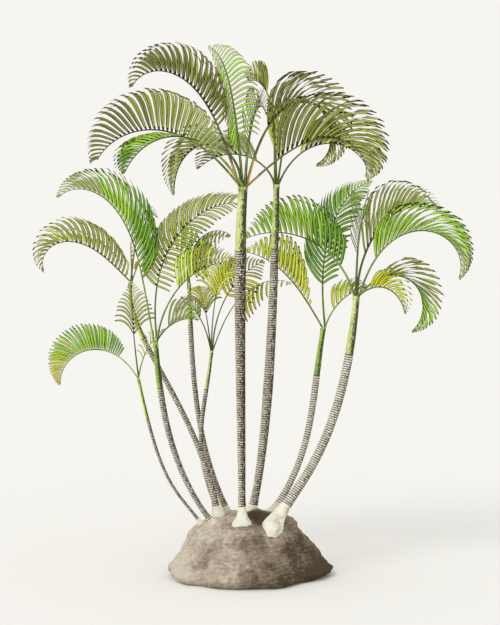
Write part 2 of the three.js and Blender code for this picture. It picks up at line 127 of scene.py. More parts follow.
class Habit(Enum):
    """The ways in which leaflets stand in this clump."""

    KEELED = Stance(crest=0.72)
    SWEPT = paired(Row(lead=0.2), arch=0.06, pitch=44, width=23)
    HOOKED = paired(Row(lead=0.2), arch=0.1, crest=0.6, pitch=46, width=24)
    ERECT = Stance(Row(lead=0.2), Row((84, 60), (6, 54), lead=0.1, reach=0.8), arch=0.08, crest=0.7,
                   pitch=60, width=22)
    UPRIGHT = paired(Row(sweep=(50, 16)), arch=0.05, crest=0.76, pitch=46, width=25)
    CLOSE_SET = paired(Row(sweep=(50, 16)), arch=0.03, crest=0.76, pitch=44, width=29)
    ARCHED = paired(Row(sweep=(58, 40)), arch=0.06, crest=0.7, pitch=36, width=20)
    COMBED = paired(Row(sweep=(12, 60)), arch=0.1, crest=0.76, pitch=36, width=23)
    CLOSED = paired(Row((86, 82), (84, 6)), arch=0.04, pitch=20, width=19)
    FANNED = paired(Row(sweep=(-4, 46), droop=0), arch=0.02, pitch=18, width=19)
    FLAT = paired(Row((16, 24), (32, 60), droop=0.2), arch=-0.1, pitch=38, width=18)
    SPREAD = paired(Row((16, 24), (32, 60), droop=0.2), arch=-0.1, pitch=30, width=20)
    LYING = Stance(Row((84, 74), (80, 64)), Row((70, 66), (80, 64)), arch=0.06, pitch=40)
    LOW_LEFT = Stance(Row((34, 30)), Row((74, 56), (44, 62)), pitch=40, width=26)
    LOW_RIGHT = Stance(Row((70, 54), lead=0.08), Row((-24, -6), (6, 40), droop=0.26), arch=0.06, width=27)
    SIDELONG = Stance(Row((16, 24), (40, 60), 0.1, 0.06), Row((0, 10), (38, 46), droop=0.24), arch=0.06,
                      pitch=44, width=26)
    HANGING = Stance(Row((24, 20), (-66, -50), droop=0.12), Row((14, 20), (4, 40), droop=0.24), arch=-0.06,
                     bow=0.2, width=23)
    WEEPING = Stance(Row((-70, -62), (-46, -4), droop=0.06), Row((-78, -66), (-46, -4), droop=0.06),
                     arch=0.05, width=24)


class Bark(Enum):
    """Ages of a cane's bark."""

    AGED = "aged"
    GREY = "grey"
    PALE = "pale"


class Wax(Enum):
    """Colours of a crownshaft."""

    PALE = "pale"
    LIME = "lime"
    GREEN = "green"
    STRAW = "straw"


def linear(red: int, green: int, blue: int) -> Colour:
    """Turns a screen colour into the linear one that a shader takes.

    Args:
        red: Red, 0 to 255.
        green: Green, 0 to 255.
        blue: Blue, 0 to 255.

    Returns:
        The linear red, green and blue.
    """
    shares = (channel / 255 for channel in (red, green, blue))
    return tuple(s / 12.92 if s <= 0.04045 else ((s + 0.055) / 1.055) ** 2.4 for s in shares)


def lerp(a: float, b: float, share: float | Array) -> float | Array:
    """Value that lies a share of the way from a to b."""
    return a + (b - a) * share


def unit(vectors: Array) -> Array:
    """Vectors of the same directions, each one long."""
    return vectors / np.maximum(np.linalg.norm(vectors, axis=-1, keepdims=True), 1e-9)


# Growth, in millimetres


@dataclass(frozen=True)
class BallForm:
    """Form of the root ball: rings of a lobed plan that narrow towards the top, with one hollow.

    Rings are shares of the plan and of the height. Each wave of lobes is their number round the ball, their
    depth, their direction at the foot and how far they turn up to the top, in degrees. The hollow is its
    place to the right and to the back, its radius and its depth, in millimetres.
    """

    width: float = 1390
    depth: float = 1220
    height: float = 545
    rings: tuple[tuple[float, float], ...] = (
        (0.92, 0), (1.0, 0.11), (0.975, 0.18), (0.88, 0.3), (0.775, 0.5),
        (0.7, 0.67), (0.6, 0.81), (0.46, 0.92), (0.28, 0.98), (0.12, 1.0),
    )
    lobes: tuple[tuple[float, float, float, float], ...] = (
        (2, 0.03, 60, -40), (3, 0.035, 20, 35), (5, 0.035, 75, -50), (9, 0.02, 10, 60),
    )
    hollow: tuple[float, float, float, float] = (75, -130, 75, 34)

    def reach(self, angle: float, rise: float) -> float:
        """How far the outline lies from the middle, as a share of the plain oval.

        Args:
            angle: Direction in plan, in radians.
            rise: Share of the height.

        Returns:
            The share.
        """
        return 1 + sum(
            depth * math.cos(count * (angle - math.radians(phase + turn * rise)))
            for count, depth, phase, turn in self.lobes
        )

    def point(self, angle: float, share: float, rise: float) -> Point:
        """Place on the surface, in millimetres.

        Args:
            angle: Direction in plan, in radians.
            share: Share of the plan's reach.
            rise: Share of the height.

        Returns:
            The point.
        """
        reach = share * lerp(1, self.reach(angle, rise), share)
        x = reach * self.width * math.cos(angle) / 2
        y = reach * self.depth * math.sin(angle) / 2
        across, along, radius, depth = self.hollow
        away = math.hypot(x - across, y - along) / radius
        dip = depth * math.exp(-away * away) if rise > 0 else 0
        return (x, y, rise * self.height - dip)

    def height_at(self, x: float, y: float) -> float:
        """Height of the surface over one place in plan.

        Args:
            x: Place to the right, in millimetres.
            y: Place to the back, in millimetres.

        Returns:
            The height in millimetres.
        """
        angle = math.atan2(y / self.depth, x / self.width)
        share = math.hypot(2 * x / self.width, 2 * y / self.depth)
        for (outer, low), (inner, high) in zip(self.rings[-2:0:-1], self.rings[:1:-1]):
            inner_share = inner * lerp(1, self.reach(angle, high), inner)
            outer_share = outer * lerp(1, self.reach(angle, low), outer)
            if share <= outer_share:
                between = max(0.0, (share - inner_share) / (outer_share - inner_share))
                return lerp(high, low, between) * self.height
        return 0.0


class Path:
    """A smooth line through space that is read by the share of its length."""

    def __init__(self, points: Array) -> None:
        """Measures a line through close points.

        Args:
            points: The points in order, one a row.
        """
        self.points = points
        steps = np.linalg.norm(np.diff(points, axis=0), axis=1)
        self.along = np.concatenate([[0.0], np.cumsum(steps)])
        self.length = float(self.along[-1])
        self.aims = unit(np.gradient(points, self.along, axis=0))

    @classmethod
    def bezier(cls, corners: Iterable[Point], steps: int = 400) -> "Path":
        """Draws a cubic curve by its four control points.

        Args:
            corners: Start, two points that pull the curve, and end.
            steps: How many short pieces the curve is cut into.

        Returns:
            The line.
        """
        a, b, c, d = (np.array(corner, float) for corner in corners)
        t = np.linspace(0, 1, steps + 1)[:, None]
        return cls((1 - t) ** 3 * a + 3 * (1 - t) ** 2 * t * b + 3 * (1 - t) * t * t * c + t**3 * d)

    def at(self, share: float | Array) -> Array:
        """Points at shares of the length."""
        where = np.asarray(share, float) * self.length
        return np.stack([np.interp(where, self.along, self.points[:, i]) for i in range(3)], -1)

    def ahead(self, share: float | Array) -> Array:
        """Directions of the line at shares of the length."""
        where = np.asarray(share, float) * self.length
        return unit(np.stack([np.interp(where, self.along, self.aims[:, i]) for i in range(3)], -1))


@dataclass(frozen=True)
class Cane:
    """One cane: its foot on the ball, two points that draw it, its crown, girth, crownshaft and flare.

    Girth holds the radius at the foot, half way and at the top. Bone is how far the pale root flare climbs,
    spread how slowly it narrows, and root how deep it goes on widening. Sink is how deep the foot stands in
    the ball. The shares give the girth of the crown and of the crownshaft's foot, and swell how much the
    crownshaft widens above that, all as shares of the girth at the top.
    """

    number: int
    foot: tuple[float, float]
    rise: Point
    neck: Point
    crown: Point
    girth: Point
    shaft: float
    flare: float
    bone: float
    spread: float
    root: float = 20
    wax: Wax = Wax.PALE
    bark: Bark = Bark.GREY
    sink: float = 110
    crown_share: float = 0.82
    shaft_swell: float = 0.04
    shaft_share: float = 0.94

    def path(self, ball: BallForm) -> Path:
        """Axis from the sunken foot to the crown."""
        x, y = self.foot
        return Path.bezier([(x, y, ball.height_at(x, y) - self.sink), self.rise, self.neck, self.crown])

    def radius(self, share: float, above: float) -> float:
        """Cane's radius in millimetres.

        Args:
            share: Share of the way from the foot to the crownshaft.
            above: Way along the axis from the ball's surface, in millimetres.

        Returns:
            The radius.
        """
        foot, middle, top = self.girth
        plain = lerp(foot, middle, 2 * share) if share < 0.5 else lerp(middle, top, 2 * share - 1)
        return plain * (1 + (self.flare - 1) * math.exp(-max(-self.root, above) / self.spread))

    def shaft_radius(self, share: float) -> float:
        """Crownshaft's radius, at a share of its own length, in millimetres."""
        swell = self.shaft_swell * math.sin(math.pi * min(1.0, 2 * share))
        return self.girth[2] * (self.shaft_share + swell + (self.crown_share - 1) * share)

    @property
    def crown_radius(self) -> float:
        """Radius where the petioles spring, in millimetres."""
        return self.girth[2] * self.crown_share


@dataclass(frozen=True)
class Frond:
    """One frond: where it heads, how its rib bends, and the longest leaflet, in degrees and millimetres.

    Start and end are the rib's angles from upright, and bend is the power by which it goes from one to the
    other. Bare is the share without leaflets, and split the share where the solid is cut in two. Tone is that
    of the solid. Bands are the tones of the leaflets from the first pair to the last, where they differ, and
    fleck is one that is dealt in here and there. Taper is where in the leaflets' profile the foot stands,
    first the share of the feathered stretch where the leaflets start, lead is added to the lead of both rows,
    reach scales the finer leaflets, and blunt is how little they shorten towards the tip.
    """

    cane: int
    name: str
    tone: Tone
    heading: float
    start: float
    end: float
    bend: float
    length: float
    leaflet: float
    bare: float = 0.3
    split: float | None = None
    group: str | None = None
    stalk: Stalk = Stalk.GREEN
    bands: tuple[Tone, ...] = ()
    fleck: Tone | None = None
    habit: Habit = Habit.KEELED
    taper: float = 0.2
    first: float = 0.0
    lead: float = 0.0
    reach: float = 1.0
    blunt: float = 0.0


CANES = (
    Cane(1, (-350, -20), (-585, -24, 745), (-725, -120, 710), (-917, -180, 1727),
         (13, 13, 14), 370, 1.5, 30, 30, wax=Wax.LIME),
    Cane(2, (-240, -120), (-635, -130, 860), (-730, -290, 1440), (-767, -380, 2059),
         (21, 24, 26), 415, 1.5, 30, 40, wax=Wax.GREEN),
    Cane(3, (-245, 60), (-360, 65, 1415), (-1085, 220, 2015), (-991, 280, 2481),
         (25, 23, 21), 515, 2.3, 75, 60, wax=Wax.STRAW),
    Cane(4, (-120, 260), (-445, 265, 1010), (-480, 480, 1575), (-506, 640, 2422),
         (25, 22, 21), 370, 1.7, 70, 60),
    Cane(5, (-195, 165), (-540, 170, 1095), (-355, 280, 1340), (-312, 360, 1873),
         (19, 19, 18), 340, 1.6, 60, 60),
    Cane(6, (-50, -230), (-50, -225, 1425), (-90, -260, 2570), (-41, -300, 3340),
         (26, 38, 48), 545, 2.6, 125, 54, 26, bark=Bark.AGED),
    Cane(7, (0, 100), (175, 95, 925), (220, 140, 2410), (239, 170, 3314),
         (28, 41, 32), 550, 1.8, 60, 60),
    Cane(8, (145, 130), (575, 150, 1020), (525, 300, 1360), (645, 430, 2070),
         (25, 27, 28), 430, 2.4, 110, 80, wax=Wax.GREEN, bark=Bark.PALE),
    Cane(9, (190, -240), (230, -200, 705), (790, 20, 845), (916, 150, 2371),
         (34, 37, 36), 505, 2.5, 190, 120, 20, bark=Bark.PALE),
)

FRONDS = (
    Frond(6, "high_left", Tone.DARK_OLIVE, 160, 20, 154, 2.99, 1550, 400, split=0.66,
          stalk=Stalk.GOLD, fleck=Tone.OLIVE, taper=0.0, first=0.05, lead=0.02, reach=0.94),
    Frond(6, "broad_left", Tone.OLIVE, 192, 39, 151, 1.74, 1460, 460, bare=0.26, split=0.62,
          stalk=Stalk.GOLD, bands=(Tone.PALE_OLIVE, Tone.OLIVE, Tone.DARK_OLIVE, Tone.DARK_OLIVE),
          habit=Habit.COMBED, taper=0.12, lead=-0.04, reach=0.96, blunt=0.04),
    Frond(6, "under_left", Tone.BRIGHT_GREEN, 218, 37, 152, 1.52, 1470, 330, bare=0.34,
          bands=(Tone.PALE_OLIVE, Tone.BRIGHT_GREEN, Tone.BRIGHT_GREEN, Tone.DEEP_GREEN), habit=Habit.LYING,
          taper=-0.55, first=0.3, reach=1.12),
    Frond(6, "upright", Tone.BRIGHT_GREEN, 112, 15, 88, 2.97, 1390, 360,
          bands=(Tone.BRIGHT_GREEN, Tone.PALE_OLIVE, Tone.BRIGHT_GREEN, Tone.PALE_OLIVE),
          habit=Habit.HANGING, reach=0.78, blunt=0.15),
    Frond(6, "drooping_left", Tone.OLIVE, 140, -8, 184, 0.82, 1190, 260, bare=0.34,
          stalk=Stalk.OLIVE, bands=(Tone.PALE_OLIVE, Tone.OLIVE, Tone.PALE_OLIVE),
          habit=Habit.SWEPT, reach=1.05),
    Frond(6, "curled_right", Tone.DARK_OLIVE, 40, 19, 255, 1.99, 1770, 385, split=0.6,
          stalk=Stalk.GOLD, bands=(Tone.DARK_OLIVE, Tone.OLIVE, Tone.PALE_OLIVE, Tone.OLIVE),
          habit=Habit.HOOKED, reach=0.93),
    Frond(6, "broad_right", Tone.PALE_OLIVE, -12, 48, 197, 2.65, 1340, 480, bare=0.26, split=0.64,
          stalk=Stalk.GOLD, bands=(Tone.DARK_OLIVE, Tone.OLIVE, Tone.OLIVE, Tone.PALE_OLIVE),
          fleck=Tone.PALE_OLIVE, habit=Habit.HOOKED, reach=1.06),
    Frond(6, "back", Tone.DEEP_GREEN, 78, 16, 130, 1.6, 1220, 380, bands=(Tone.OLIVE,), reach=0.7),
    Frond(7, "upright", Tone.OLIVE, 138, 1, 118, 4.6, 1030, 260, bare=0.66, fleck=Tone.YELLOW_GREEN,
          habit=Habit.CLOSED, first=0.3, reach=0.95, blunt=0.1),
    Frond(7, "left", Tone.OLIVE, 165, 11, 135, 0.8, 810, 280, stalk=Stalk.OLIVE,
          bands=(Tone.PALE_OLIVE, Tone.DARK_OLIVE), habit=Habit.SWEPT),
    Frond(7, "right", Tone.DARK_OLIVE, 12, 23, 164, 1.29, 1040, 380, stalk=Stalk.OLIVE,
          bands=(Tone.OLIVE, Tone.OLIVE, Tone.DARK_OLIVE, Tone.DARK_OLIVE), fleck=Tone.YELLOW_GREEN,
          habit=Habit.SWEPT, lead=0.05),
    Frond(7, "inner", Tone.YELLOW_GREEN, 60, 16, 45, 2.72, 700, 320,
          bands=(Tone.YELLOW_GREEN, Tone.OLIVE), habit=Habit.SWEPT),
    Frond(7, "back", Tone.BRIGHT_GREEN, 92, 20, 140, 1.5, 1150, 380, bands=(Tone.OLIVE,), reach=0.7),
    Frond(2, "high_left", Tone.DEEP_GREEN, 165, 10, 138, 3.54, 1720, 450,
          bands=(Tone.DEEP_GREEN, Tone.DEEP_GREEN, Tone.BRIGHT_GREEN, Tone.PALE_OLIVE, Tone.PALE_OLIVE),
          habit=Habit.SWEPT, taper=0.05, lead=-0.06, reach=0.83),
    Frond(2, "high_right", Tone.OLIVE, 20, -6, 87, 1.5, 1480, 330, group="right", stalk=Stalk.OLIVE,
          fleck=Tone.PALE_OLIVE, habit=Habit.LOW_RIGHT, reach=0.76, blunt=0.2),
    Frond(2, "front_right", Tone.YELLOW_GREEN, -35, 9, 88, 1.02, 1170, 330, bare=0.2,
          bands=(Tone.OLIVE, Tone.BRIGHT_GREEN, Tone.OLIVE, Tone.OLIVE), fleck=Tone.YELLOW_GREEN,
          habit=Habit.ARCHED, first=0.3),
    Frond(2, "low_right", Tone.OLIVE, 50, 43, 109, 0.93, 560, 250, group="right", stalk=Stalk.OLIVE,
          bands=(Tone.PALE_OLIVE, Tone.BRIGHT_GREEN), habit=Habit.SWEPT),
    Frond(1, "left", Tone.DEEP_GREEN, 190, 31, 184, 1.37, 910, 330, bare=0.18, split=0.56,
          bands=(Tone.DEEP_GREEN, Tone.BRIGHT_GREEN, Tone.YELLOW), habit=Habit.FANNED,
          taper=-0.02, first=0.1, reach=0.84),
    Frond(1, "upright", Tone.YELLOW_GREEN, 115, 20, 1, 0.99, 800, 280, bare=0.2, group="upright",
          stalk=Stalk.OLIVE, bands=(Tone.OLIVE, Tone.PALE_OLIVE), habit=Habit.FLAT, first=0.3),
    Frond(1, "right", Tone.YELLOW_GREEN, 40, 14, 64, 1.36, 480, 180, group="upright",
          bands=(Tone.PALE_OLIVE,), habit=Habit.FLAT),
    Frond(3, "left", Tone.OLIVE, 175, 45, 204, 2.6, 1020, 330, bare=0.14, split=0.6,
          stalk=Stalk.OLIVE, fleck=Tone.YELLOW_GREEN, habit=Habit.LOW_LEFT, first=-0.12),
    Frond(3, "spear", Tone.YELLOW, 110, 4, 8, 1, 330, 60, bare=0.4, group="spears"),
    Frond(3, "short_spear", Tone.YELLOW, 30, 20, 30, 1, 200, 40, bare=0.5, group="spears"),
    Frond(3, "back", Tone.DEEP_GREEN, 72, 15, 120, 1.6, 950, 330,
          bands=(Tone.OLIVE, Tone.DEEP_GREEN), reach=0.45),
    Frond(4, "left", Tone.YELLOW_GREEN, 205, -5, 229, 2.39, 540, 270, bare=0.2,
          bands=(Tone.BRIGHT_GREEN, Tone.YELLOW_GREEN)),
    Frond(4, "right", Tone.YELLOW_GREEN, 30, -8, 130, 1.45, 740, 270, bare=0.2, group="right",
          bands=(Tone.YELLOW_GREEN, Tone.OLIVE), habit=Habit.WEEPING, first=0.15, reach=1.1),
    Frond(4, "back", Tone.YELLOW_GREEN, 105, 12, 130, 1.6, 850, 300, group="right",
          bands=(Tone.YELLOW_GREEN, Tone.PALE_OLIVE), reach=0.7),
    Frond(5, "far_left", Tone.PALE_OLIVE, 150, 13, 60, 1.37, 540, 210, group="left", stalk=Stalk.OLIVE,
          bands=(Tone.OLIVE, Tone.PALE_OLIVE), habit=Habit.SPREAD, first=0.35, reach=1.15),
    Frond(5, "left", Tone.PALE_OLIVE, 110, 18, 48, 1.48, 600, 230, group="left", fleck=Tone.YELLOW,
          stalk=Stalk.OLIVE, bands=(Tone.OLIVE, Tone.YELLOW), habit=Habit.SPREAD, first=0.35, reach=1.15),
    Frond(5, "middle", Tone.PALE_OLIVE, 65, 6, 61, 2, 820, 260, group="left",
          bands=(Tone.YELLOW, Tone.YELLOW_GREEN), habit=Habit.SPREAD, first=0.35, reach=1.15),
    Frond(5, "right", Tone.YELLOW, 30, 3, 72, 1.21, 950, 290, group="right", stalk=Stalk.OLIVE,
          bands=(Tone.YELLOW, Tone.OLIVE), habit=Habit.LOW_RIGHT, first=0.3),
    Frond(5, "far_right", Tone.YELLOW, 5, 20, 114, 2.07, 1000, 290, group="right", stalk=Stalk.OLIVE,
          fleck=Tone.OLIVE, habit=Habit.WEEPING, first=0.25, reach=0.8),
    Frond(8, "left", Tone.YELLOW_GREEN, 160, 32, 84, 2.11, 960, 410, bare=0.2, stalk=Stalk.GOLD,
          habit=Habit.CLOSE_SET, taper=0.0, reach=0.92),
    Frond(8, "high_right", Tone.BRIGHT_GREEN, 45, -8, 82, 1.68, 1500, 380, bare=0.24, group="right",
          bands=(Tone.DEEP_GREEN, Tone.DEEP_GREEN, Tone.BRIGHT_GREEN), habit=Habit.SIDELONG, reach=0.92),
    Frond(8, "low_right", Tone.BRIGHT_GREEN, 15, 20, 82, 1.19, 520, 200, group="right",
          bands=(Tone.YELLOW_GREEN, Tone.OLIVE), habit=Habit.SWEPT),
    Frond(9, "left", Tone.BRIGHT_GREEN, 166, 15, 114, 1.02, 1190, 470, bare=0.22,
          bands=(Tone.DEEP_GREEN, Tone.BRIGHT_GREEN, Tone.BRIGHT_GREEN), habit=Habit.UPRIGHT, reach=0.95),
    Frond(9, "high_right", Tone.DARK_OLIVE, 50, -4, 117, 0.8, 1590, 370, bare=0.22,
          stalk=Stalk.OLIVE, bands=(Tone.OLIVE, Tone.OLIVE, Tone.PALE_OLIVE),
          fleck=Tone.BRIGHT_GREEN, habit=Habit.ERECT),
    Frond(9, "broad_right", Tone.BRIGHT_GREEN, -15, 19, 203, 1.8, 1440, 360, bare=0.24, split=0.56,
          bands=(Tone.BRIGHT_GREEN, Tone.BRIGHT_GREEN, Tone.PALE_OLIVE), habit=Habit.HOOKED, reach=0.9),
    Frond(9, "drooping_right", Tone.DEEP_GREEN, 25, 43, 235, 1.31, 1060, 270, bare=0.22, split=0.5,
          bands=(Tone.OLIVE, Tone.BRIGHT_GREEN, Tone.BRIGHT_GREEN), fleck=Tone.OLIVE,
          habit=Habit.HOOKED, lead=0.04),
    Frond(9, "low_front", Tone.YELLOW_GREEN, -45, 56, 168, 1.5, 650, 210, bare=0.24,
          bands=(Tone.YELLOW, Tone.YELLOW_GREEN, Tone.PALE_OLIVE), habit=Habit.SWEPT, reach=1.12),
    Frond(9, "back", Tone.OLIVE, 82, 14, 135, 1.6, 1180, 370, bands=(Tone.PALE_OLIVE,)),
)


@dataclass(frozen=True)
class RibLine:
    """A frond's middle line, from its seat on the crown to its tip."""

    points: Array
    aims: Array
    left: Array
    up: Array
    seat: Array

    def point(self, along: Array) -> Array:
        """Points at shares of the rib's length."""
        return self._read(self.points, along)

    def ahead(self, along: Array) -> Array:
        """Directions at shares of the rib's length."""
        return unit(self._read(self.aims, along))

    def _read(self, rows: Array, along: Array) -> Array:
        """Rows that lie between the stations, at shares of the length."""
        stations = np.linspace(0, 1, len(rows))
        return np.stack([np.interp(along, stations, rows[:, i]) for i in range(3)], -1)


@dataclass(frozen=True)
class Growth:
    """The rule by which the part's source seats fronds on a crown and sends out ribs and leaflets.

    Clearance and rib least are in millimetres, and seat spacing is in degrees. Seat reach and rib share are
    of the crown's radius, and rib tip share is of the rib's thickness at its foot. Fullness is the power that
    rounds the leaflets' profile, and least its smallest value.
    """

    ball: BallForm = field(default_factory=BallForm)
    clearance: float = 0.3
    seat_spacing: float = 44
    seat_reach: float = 0.66
    seat_rounds: int = 200
    rib_steps: int = 200
    rib_share: float = 0.25
    rib_least: float = 1.6
    rib_tip_share: float = 0.34
    group_slimming: float = 0.84
    last_pair: float = 0.985
    profile_end: float = 0.95
    fullness: float = 0.8
    least: float = 0.15

    def seats(self, number: int) -> dict[str, float]:
        """Directions in which one crown's petioles stand, moved apart where two would stand too close.

        Args:
            number: The cane's number.

        Returns:
            The direction in degrees by frond name.
        """
        groups: dict[str, list[Frond]] = {}
        for frond in FRONDS:
            if frond.cane == number:
                groups.setdefault(frond.group or frond.name, []).append(frond)
        rows = sorted(groups.values(), key=lambda row: sum(f.heading for f in row) / len(row))
        angles = [sum(f.heading for f in row) / len(row) for row in rows]
        spacing = min(self.seat_spacing, 360 / len(rows))
        for _ in range(self.seat_rounds):
            for i in range(len(rows)):
                following = (i + 1) % len(rows)
                wrap = 360 if i + 1 == len(rows) else 0
                lack = spacing - (angles[following] + wrap - angles[i])
                if lack > 0 and following != i:
                    angles[i] -= lack / 2
                    angles[following] += lack / 2
        return {f.name: angle for row, angle in zip(rows, angles) for f in row}

    def rib(self, frond: Frond, cane: Cane, seat: float) -> RibLine:
        """Works out the line of a rib in small steps from the crown.

        Args:
            frond: The frond.
            cane: The cane that carries it.
            seat: Direction of its seat on the crown, in degrees.

        Returns:
            The rib's line in millimetres.
        """
        heading, stance = math.radians(frond.heading), math.radians(seat)
        up = cane.path(self.ball).ahead(1.0)
        level = np.array([math.cos(heading), math.sin(heading), 0.0])
        out = np.array([math.cos(stance), math.sin(stance), 0.0])
        seat_out = unit(out - up * (out @ up))
        start = np.array(cane.crown, float) + up * self.clearance
        start = start + seat_out * cane.crown_radius * self.seat_reach
        along = np.linspace(0, 1, self.rib_steps + 1)
        angle = np.radians(lerp(frond.start, frond.end, along**frond.bend))
        aims = np.sin(angle)[:, None] * level + np.cos(angle)[:, None] * UP
        steps = np.cumsum(aims[:-1], axis=0) * frond.length / self.rib_steps
        points = start + np.concatenate([np.zeros((1, 3)), steps])
        return RibLine(points, aims, np.cross(UP, level), up, seat_out)

    def rib_half(self, frond: Frond, cane: Cane) -> float:
        """Works out how thick a rib is at its foot.

        Args:
            frond: The frond.
            cane: The cane that carries it.

        Returns:
            Half of its thickness in millimetres.
        """
        first = next(f for f in FRONDS if f.cane == frond.cane and f.group == frond.group)
        slim = self.group_slimming if frond.group and first is not frond else 1
        return slim * (cane.crown_radius * self.rib_share + self.rib_least)

    def leaflet_length(self, frond: Frond, share: Array) -> Array:
        """Leaflet lengths in millimetres at shares of the feathered stretch."""
        place = np.maximum(0, lerp(frond.taper, self.profile_end - frond.blunt, share))
        return frond.leaflet * np.maximum(self.least, np.sin(np.pi * place) ** self.fullness)

    @staticmethod
    def aim(ahead: Array, normal: Array, outward: Array, sweep: Array, lift: Array) -> Array:
        """Directions in which the leaflets of one row point.

        Args:
            ahead: Directions of the rib, one a row.
            normal: Upward directions square to the rib, one a row.
            outward: Level direction away from the rib, on the row's side.
            sweep: Degrees by which each leaflet leans towards the rib's tip.
            lift: Degrees by which each leaflet rises out of the rib's own plane.

        Returns:
            The directions, one a row.
        """
        sweep, lift = np.radians(sweep)[:, None], np.radians(lift)[:, None]
        across = np.cos(lift) * outward + np.sin(lift) * normal
        return np.sin(sweep) * ahead + np.cos(sweep) * across


# Finishes


@dataclass
class NodeSheet:
    """Lays out one node tree, with short calls for its nodes and links."""

    tree: bpy.types.NodeTree
    columns: int = 6
    spacing: tuple[int, int] = (220, -260)
    count: int = 0

    def node(
        self, kind: str, feeds: dict[str | int, object] | None = None, **options: object
    ) -> bpy.types.Node:
        """Adds a node.

        Args:
            kind: Node type, such as ShaderNodeMath.
            feeds: What its inputs get, by name or number: another node's output or a plain value.
            options: Settings of the node.

        Returns:
            The node.
        """
        node = self.tree.nodes.new(kind)
        row, column = divmod(self.count, self.columns)
        node.location = (self.spacing[0] * column, self.spacing[1] * row)
        self.count += 1
        for name, value in options.items():
            setattr(node, name, value)
        for name, source in (feeds or {}).items():
            self.feed(source, node.inputs[name])
        return node

    def feed(self, source: object, target: Socket) -> None:
        """Links an output to an input, or gives the input a plain value.

        Args:
            source: The output or the value.
            target: The input.
        """
        if isinstance(source, Socket):
            self.tree.links.new(source, target)
        else:
            target.default_value = source

    def calc(self, operation: str, *terms: Socket | float, clamp: bool = False) -> Socket:
        """Works out one value from others.

        Args:
            operation: What is done, such as MULTIPLY.
            terms: Outputs and numbers that it is done with.
            clamp: Whether the result is kept between 0 and 1.

        Returns:
            The result.
        """
        feeds = dict(enumerate(terms))
        return self.node("ShaderNodeMath", feeds, operation=operation, use_clamp=clamp).outputs[0]

    def mix(self, mask: Socket, first: object, second: object) -> Socket:
        """Mixes two colours.

        Args:
            mask: 0 for the first colour, and 1 for the second.
            first: Output or plain colour.
            second: Output or plain colour.

        Returns:
            The mixed colour.
        """
        feeds = {"Factor": mask, MIX_FIRST: first, MIX_SECOND: second}
        return self.node("ShaderNodeMix", feeds, data_type="RGBA").outputs[MIX_RESULT]

    def bump(self, height: Socket, strength: float, depth: float, shader: bpy.types.Node) -> None:
        """Gives a shader relief.

        Args:
            height: Height over the surface.
            strength: How strongly it shows.
            depth: Depth of the relief in metres.
            shader: The shader.
        """
        node = self.node("ShaderNodeBump", {"Height": height, "Strength": strength, "Distance": depth})
        self.feed(node.outputs["Normal"], shader.inputs["Normal"])


def blank(name: str, colour: Colour, specular: float) -> tuple[bpy.types.Material, NodeSheet, bpy.types.Node]:
    """Starts a material.

    Args:
        name: Its name.
        colour: Its plain colour.
        specular: How strongly it mirrors.

    Returns:
        The material, the sheet of its nodes and its shader.
    """
    material = bpy.data.materials.new(name)
    material.use_nodes = True
    material.diffuse_color = (*colour, 1)
    shader = material.node_tree.nodes["Principled BSDF"]
    shader.inputs["Specular IOR Level"].default_value = specular
    return material, NodeSheet(material.node_tree), shader


